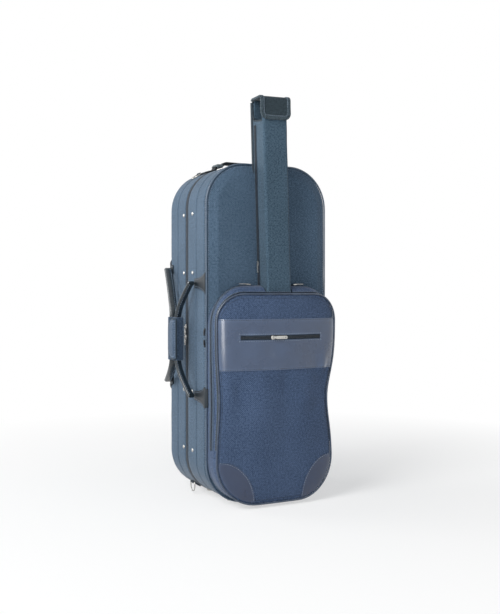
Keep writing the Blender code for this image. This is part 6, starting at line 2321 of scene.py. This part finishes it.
    def spot(self, x: float, along: float, lift: float) -> tuple[Point, Point]:
        """A point on the flap and the direction out of it.

        Args:
            x: place across.
            along: distance from its back edge, over the fold and down.
            lift: distance out from its inner face.

        Returns:
            The point and the outward direction.
        """
        sag = 0.0012 * (x / self.flap_half) ** 4 + 0.0004 * ripple(x, along, 0.0, 0.030, 5.0)
        if along < self.over:
            flat = math.sin(math.pi * min(1.0, along / self.over))
            return (x, self.back - along, self.flap_level + lift - sag * flat), (0.0, 0.0, 1.0)
        if along < self.over + self.turn:
            angle = (along - self.over) / self.fold
            reach = self.fold + lift
            y = self.flap_face + self.fold - reach * math.sin(angle)
            z = self.flap_level - self.fold + reach * math.cos(angle)
            return (x, y, z), (0.0, -math.sin(angle), math.cos(angle))
        fall = along - self.over - self.turn
        kick = 0.0014 * (fall / self.down) ** 2 - sag * edge_share(fall, 0.0, 0.020)
        return (x, self.flap_face - lift - kick, self.flap_level - self.fold - fall), (0.0, -1.0, 0.0)

    def flap_width(self, along: float) -> float:
        """Half the flap's width at a distance along it.

        Args:
            along: distance from its back edge.

        Returns:
            Half the width.
        """
        past = self.flap_corner - (self.flap_end - along)
        if past <= 0:
            return self.flap_half - 0.0060 * (1 - edge_share(along, 0.0, 0.020))
        return self.flap_half - self.flap_corner + math.sqrt(max(0.0, self.flap_corner**2 - past**2))

    def border(self, inset: float, lift: float) -> tuple[list[Point], list[Point]]:
        """Points along the flap's two sides and round its lower end.

        Args:
            inset: distance in from the edge.
            lift: distance out from the inner face.

        Returns:
            Points and outward directions.
        """
        start = self.flap_end - self.flap_corner
        radius = self.flap_corner - inset
        flat = [
            (self.flap_width(float(along)) - inset, float(along)) for along in np.linspace(0.0015, start, 34)
        ]
        flat += arc((self.flap_half - self.flap_corner, start), radius, np.linspace(0, math.pi / 2, 9)[1:])
        across = flat[-1][0]
        flat += [(float(x), flat[-1][1]) for x in np.linspace(across, -across, 12)[1:-1]]
        flat += [(-x, along) for x, along in reversed(flat[:42])]
        spots = [self.spot(x, along, lift) for x, along in flat]
        return [spot[0] for spot in spots], [spot[1] for spot in spots]

    def flap(self) -> None:
        """Build the flap, its binding and its stitches."""
        stations = [*np.linspace(0, self.over, 12), *np.linspace(self.over, self.over + self.turn, 9)[1:]]
        start = self.over + self.turn
        stations += [*np.linspace(start, self.flap_end - self.flap_corner, 10)[1:]]
        stations += [
            self.flap_end - self.flap_corner * (1 - math.sin(turn)) for turn in np.linspace(0, 1.52, 9)[1:]
        ]
        columns = np.linspace(-1, 1, 19)
        rows = []
        for along in stations:
            half = self.flap_width(float(along))
            rows.append(
                [self.spot(float(share) * half, float(along), self.flap_thickness)[0] for share in columns]
            )
        form = sheet(rows, turned=True).moved(self.leaning)
        piece = Piece("bow_flap", "quiver_lid", [FLAP_CANVAS], ["quiver_flap"], "webbing", sharp_from=50)
        piece.from_bmesh(walled(form, self.flap_thickness))
        path, facing = self.border(0.0042, self.flap_thickness / 2)
        binding = sweep(path, flat_section(0.0054, 0.0108, 0.0022), lambda index: facing[index])
        Piece(
            "bow_flap_binding", "quiver_lid", [KNURLED_TAPE], slot="webbing"
        ).from_form(binding.moved(self.leaning))
        turned = self.leaning.to_3x3()
        path, facing = self.border(0.0076, self.flap_thickness / 2 + 0.0027)
        rail = Rail(
            [tuple(self.leaning @ Vector(point)) for point in path],
            [tuple(turned @ Vector(out)) for out in facing]
        )
        SEAM_ROW.build("bow_flap_stitching", "quiver_lid", [rail], "webbing")

    def build(self) -> None:
        """Build the whole quiver."""
        self.tube()
        self.edges()
        self.flap()


@dataclass
class Interior:
    """Plush beds with their recesses, neck straps, accessory lids and bow spinners."""

    pile: float = 0.0040
    coarse_pile: float = 0.0080

    def bed(self, half: str) -> None:
        """Soften one plush bed: its edges turn round like foam under cloth.

        Args:
            half: front or rear.
        """
        name = f"{half}_plush_bed"
        obj = linked(name, mesh_of(name, unpacked(f"{half}_violin_bed")))
        grid = obj.modifiers.new("foam", "REMESH")
        grid.mode = "VOXEL"
        grid.voxel_size = self.pile
        soft = obj.modifiers.new("cloth", "SMOOTH")
        soft.factor = 0.6
        soft.iterations = 3
        piece = Piece(name, f"{half}_half", [VELVET], [f"{half}_violin_bed"], "bed_velvet", 180, 0.7)
        piece.dress(linked(name, baked(obj)))

    def build(self) -> None:
        """Build both beds and their fittings."""
        for half in ("rear", "front"):
            self.bed(half)
            refine([f"{half}_neck_strap"], f"{half}_half", WEBBING, "webbing", 0.0005)
            refine([f"{half}_accessory_lid"], f"{half}_box_lid", VELVET, "bed_velvet", 0.0014)
            refine([f"{half}_bow_spinner"], f"{half}_spinner", BLACK_LACQUER, "dark_metal", 0.0008)


@dataclass
class Studio:
    """Pale floor, soft light and the photograph's camera."""

    camera_place: Point = (-0.974, -1.946, 0.501)
    camera_turn: float = -26.9
    lens: float = 50.38
    shift_y: float = -0.0228
    ambient: str = "85898e"

    def floor(self) -> None:
        """Lay a floor that shows the shadow and fades to white far from the case."""
        mesh = bpy.data.meshes.new("floor")
        reach = 12.0
        mesh.from_pydata(
            [(-reach, -reach, 0), (reach, -reach, 0), (reach, reach, 0), (-reach, reach, 0)], [],
            [(0, 1, 2, 3)]
        )
        material = bpy.data.materials.new("white paper backdrop")
        material.use_nodes = True
        tree = material.node_tree
        tree.nodes.clear()
        place = add_node(tree, "ShaderNodeTexCoord")
        length = add_node(tree, "ShaderNodeVectorMath", {0: place.outputs["Object"]}, operation="LENGTH")
        far = add_node(tree, "ShaderNodeMapRange", {0: length.outputs["Value"], 1: 0.35, 2: 1.5, 3: 0.55})
        seen = self.seen(tree)
        share = add_node(tree, "ShaderNodeMath", {0: far, 1: seen}, operation="MULTIPLY")
        paper = add_node(tree, "ShaderNodeBsdfDiffuse", {"Color": linear("f6f6f5"), "Roughness": 0.6})
        white = add_node(tree, "ShaderNodeEmission", {"Color": (1, 1, 1, 1), "Strength": 1.0})
        mixed = add_node(tree, "ShaderNodeMixShader", {0: share, 1: paper, 2: white})
        add_node(tree, "ShaderNodeOutputMaterial", {"Surface": mixed})
        mesh.materials.append(material)
        obj = linked("studio_floor", mesh)
        obj.location = (DATUM.shift.x, DATUM.shift.y, 0)

    def seen(self, tree: bpy.types.NodeTree) -> bpy.types.NodeSocket:
        """Tell what the camera sees, also in mirrors and through glass, from what only lights.

        Args:
            tree: the tree that takes the nodes.

        Returns:
            A socket that is 1 for what is seen.
        """
        rays = add_node(tree, "ShaderNodeLightPath").outputs
        first = add_node(
            tree, "ShaderNodeMath", {0: rays["Is Camera Ray"], 1: rays["Is Glossy Ray"]}, operation="MAXIMUM"
        )
        both = add_node(
            tree, "ShaderNodeMath", {0: first, 1: rays["Is Transmission Ray"]}, operation="MAXIMUM"
        )
        return both.outputs[0]

    def sky(self) -> None:
        """Surround the scene with a soft grey that is seen as white."""
        world = bpy.data.worlds.new("studio")
        world.use_nodes = True
        tree = world.node_tree
        tree.nodes.clear()
        colour = add_node(
            tree, "ShaderNodeMix",
            {"Factor": self.seen(tree), 6: linear(self.ambient), 7: (1.0, 1.0, 1.0, 1.0)}, data_type="RGBA"
        )
        glow = add_node(tree, "ShaderNodeBackground", {"Color": colour.outputs[2], "Strength": 1.0})
        add_node(tree, "ShaderNodeOutputWorld", {"Surface": glow})
        bpy.context.scene.world = world

    def lamp(self, name: str, place: Point, aim: Point, size: float, power: float) -> None:
        """Hang one square softbox.

        Args:
            name: its name.
            place: where it hangs, in the case's axes.
            aim: what it points at.
            size: its side.
            power: its power in watts.
        """
        light = bpy.data.lights.new(name, "AREA")
        light.shape = "SQUARE"
        light.size = size
        light.energy = power
        obj = linked(name, light)
        obj.location = Vector(place) + DATUM.shift
        obj.rotation_euler = (Vector(aim) - Vector(place)).to_track_quat("-Z", "Y").to_euler()

    def camera(self) -> None:
        """Set the photograph's camera."""
        data = bpy.data.cameras.new("camera")
        data.sensor_width = 36
        data.lens = self.lens
        data.shift_y = self.shift_y
        obj = linked("camera", data)
        obj.location = Vector(self.camera_place) + Vector((DATUM.shift.x, DATUM.shift.y, 0))
        obj.rotation_euler = (math.radians(90), 0, math.radians(self.camera_turn))
        bpy.context.scene.camera = obj

    def build(self) -> None:
        """Build the studio."""
        bpy.context.scene.view_settings.view_transform = "Standard"
        self.floor()
        self.sky()
        self.lamp("left_softbox", (-2.40, -1.14, 1.95), (0, 0, 0.45), 1.5, 62)
        self.lamp("rear_left_softbox", (-2.0, 1.6, 1.3), (0, 0, 0.50), 1.2, 25)
        self.lamp("edge_light", (-1.20, -2.42, 0.50), (-0.1, 0, 0.40), 0.6, 10)
        self.lamp("fill_light", (1.8, -2.2, 1.6), (0, 0, 0.45), 1.8, 3)
        self.camera()


def main() -> None:
    """Build every sub-assembly in order."""
    logging.basicConfig(level=logging.INFO, format="%(message)s")
    assemblies = (
        CaseShells, ClosureZipper, Trim, CarryHandles, TopFittings, Pocket, Quiver, Interior, Studio
    )
    for assembly in assemblies:
        LOG.info("building %s", assembly.__name__)
        assembly().build()


if __name__ == "__main__":
    main()
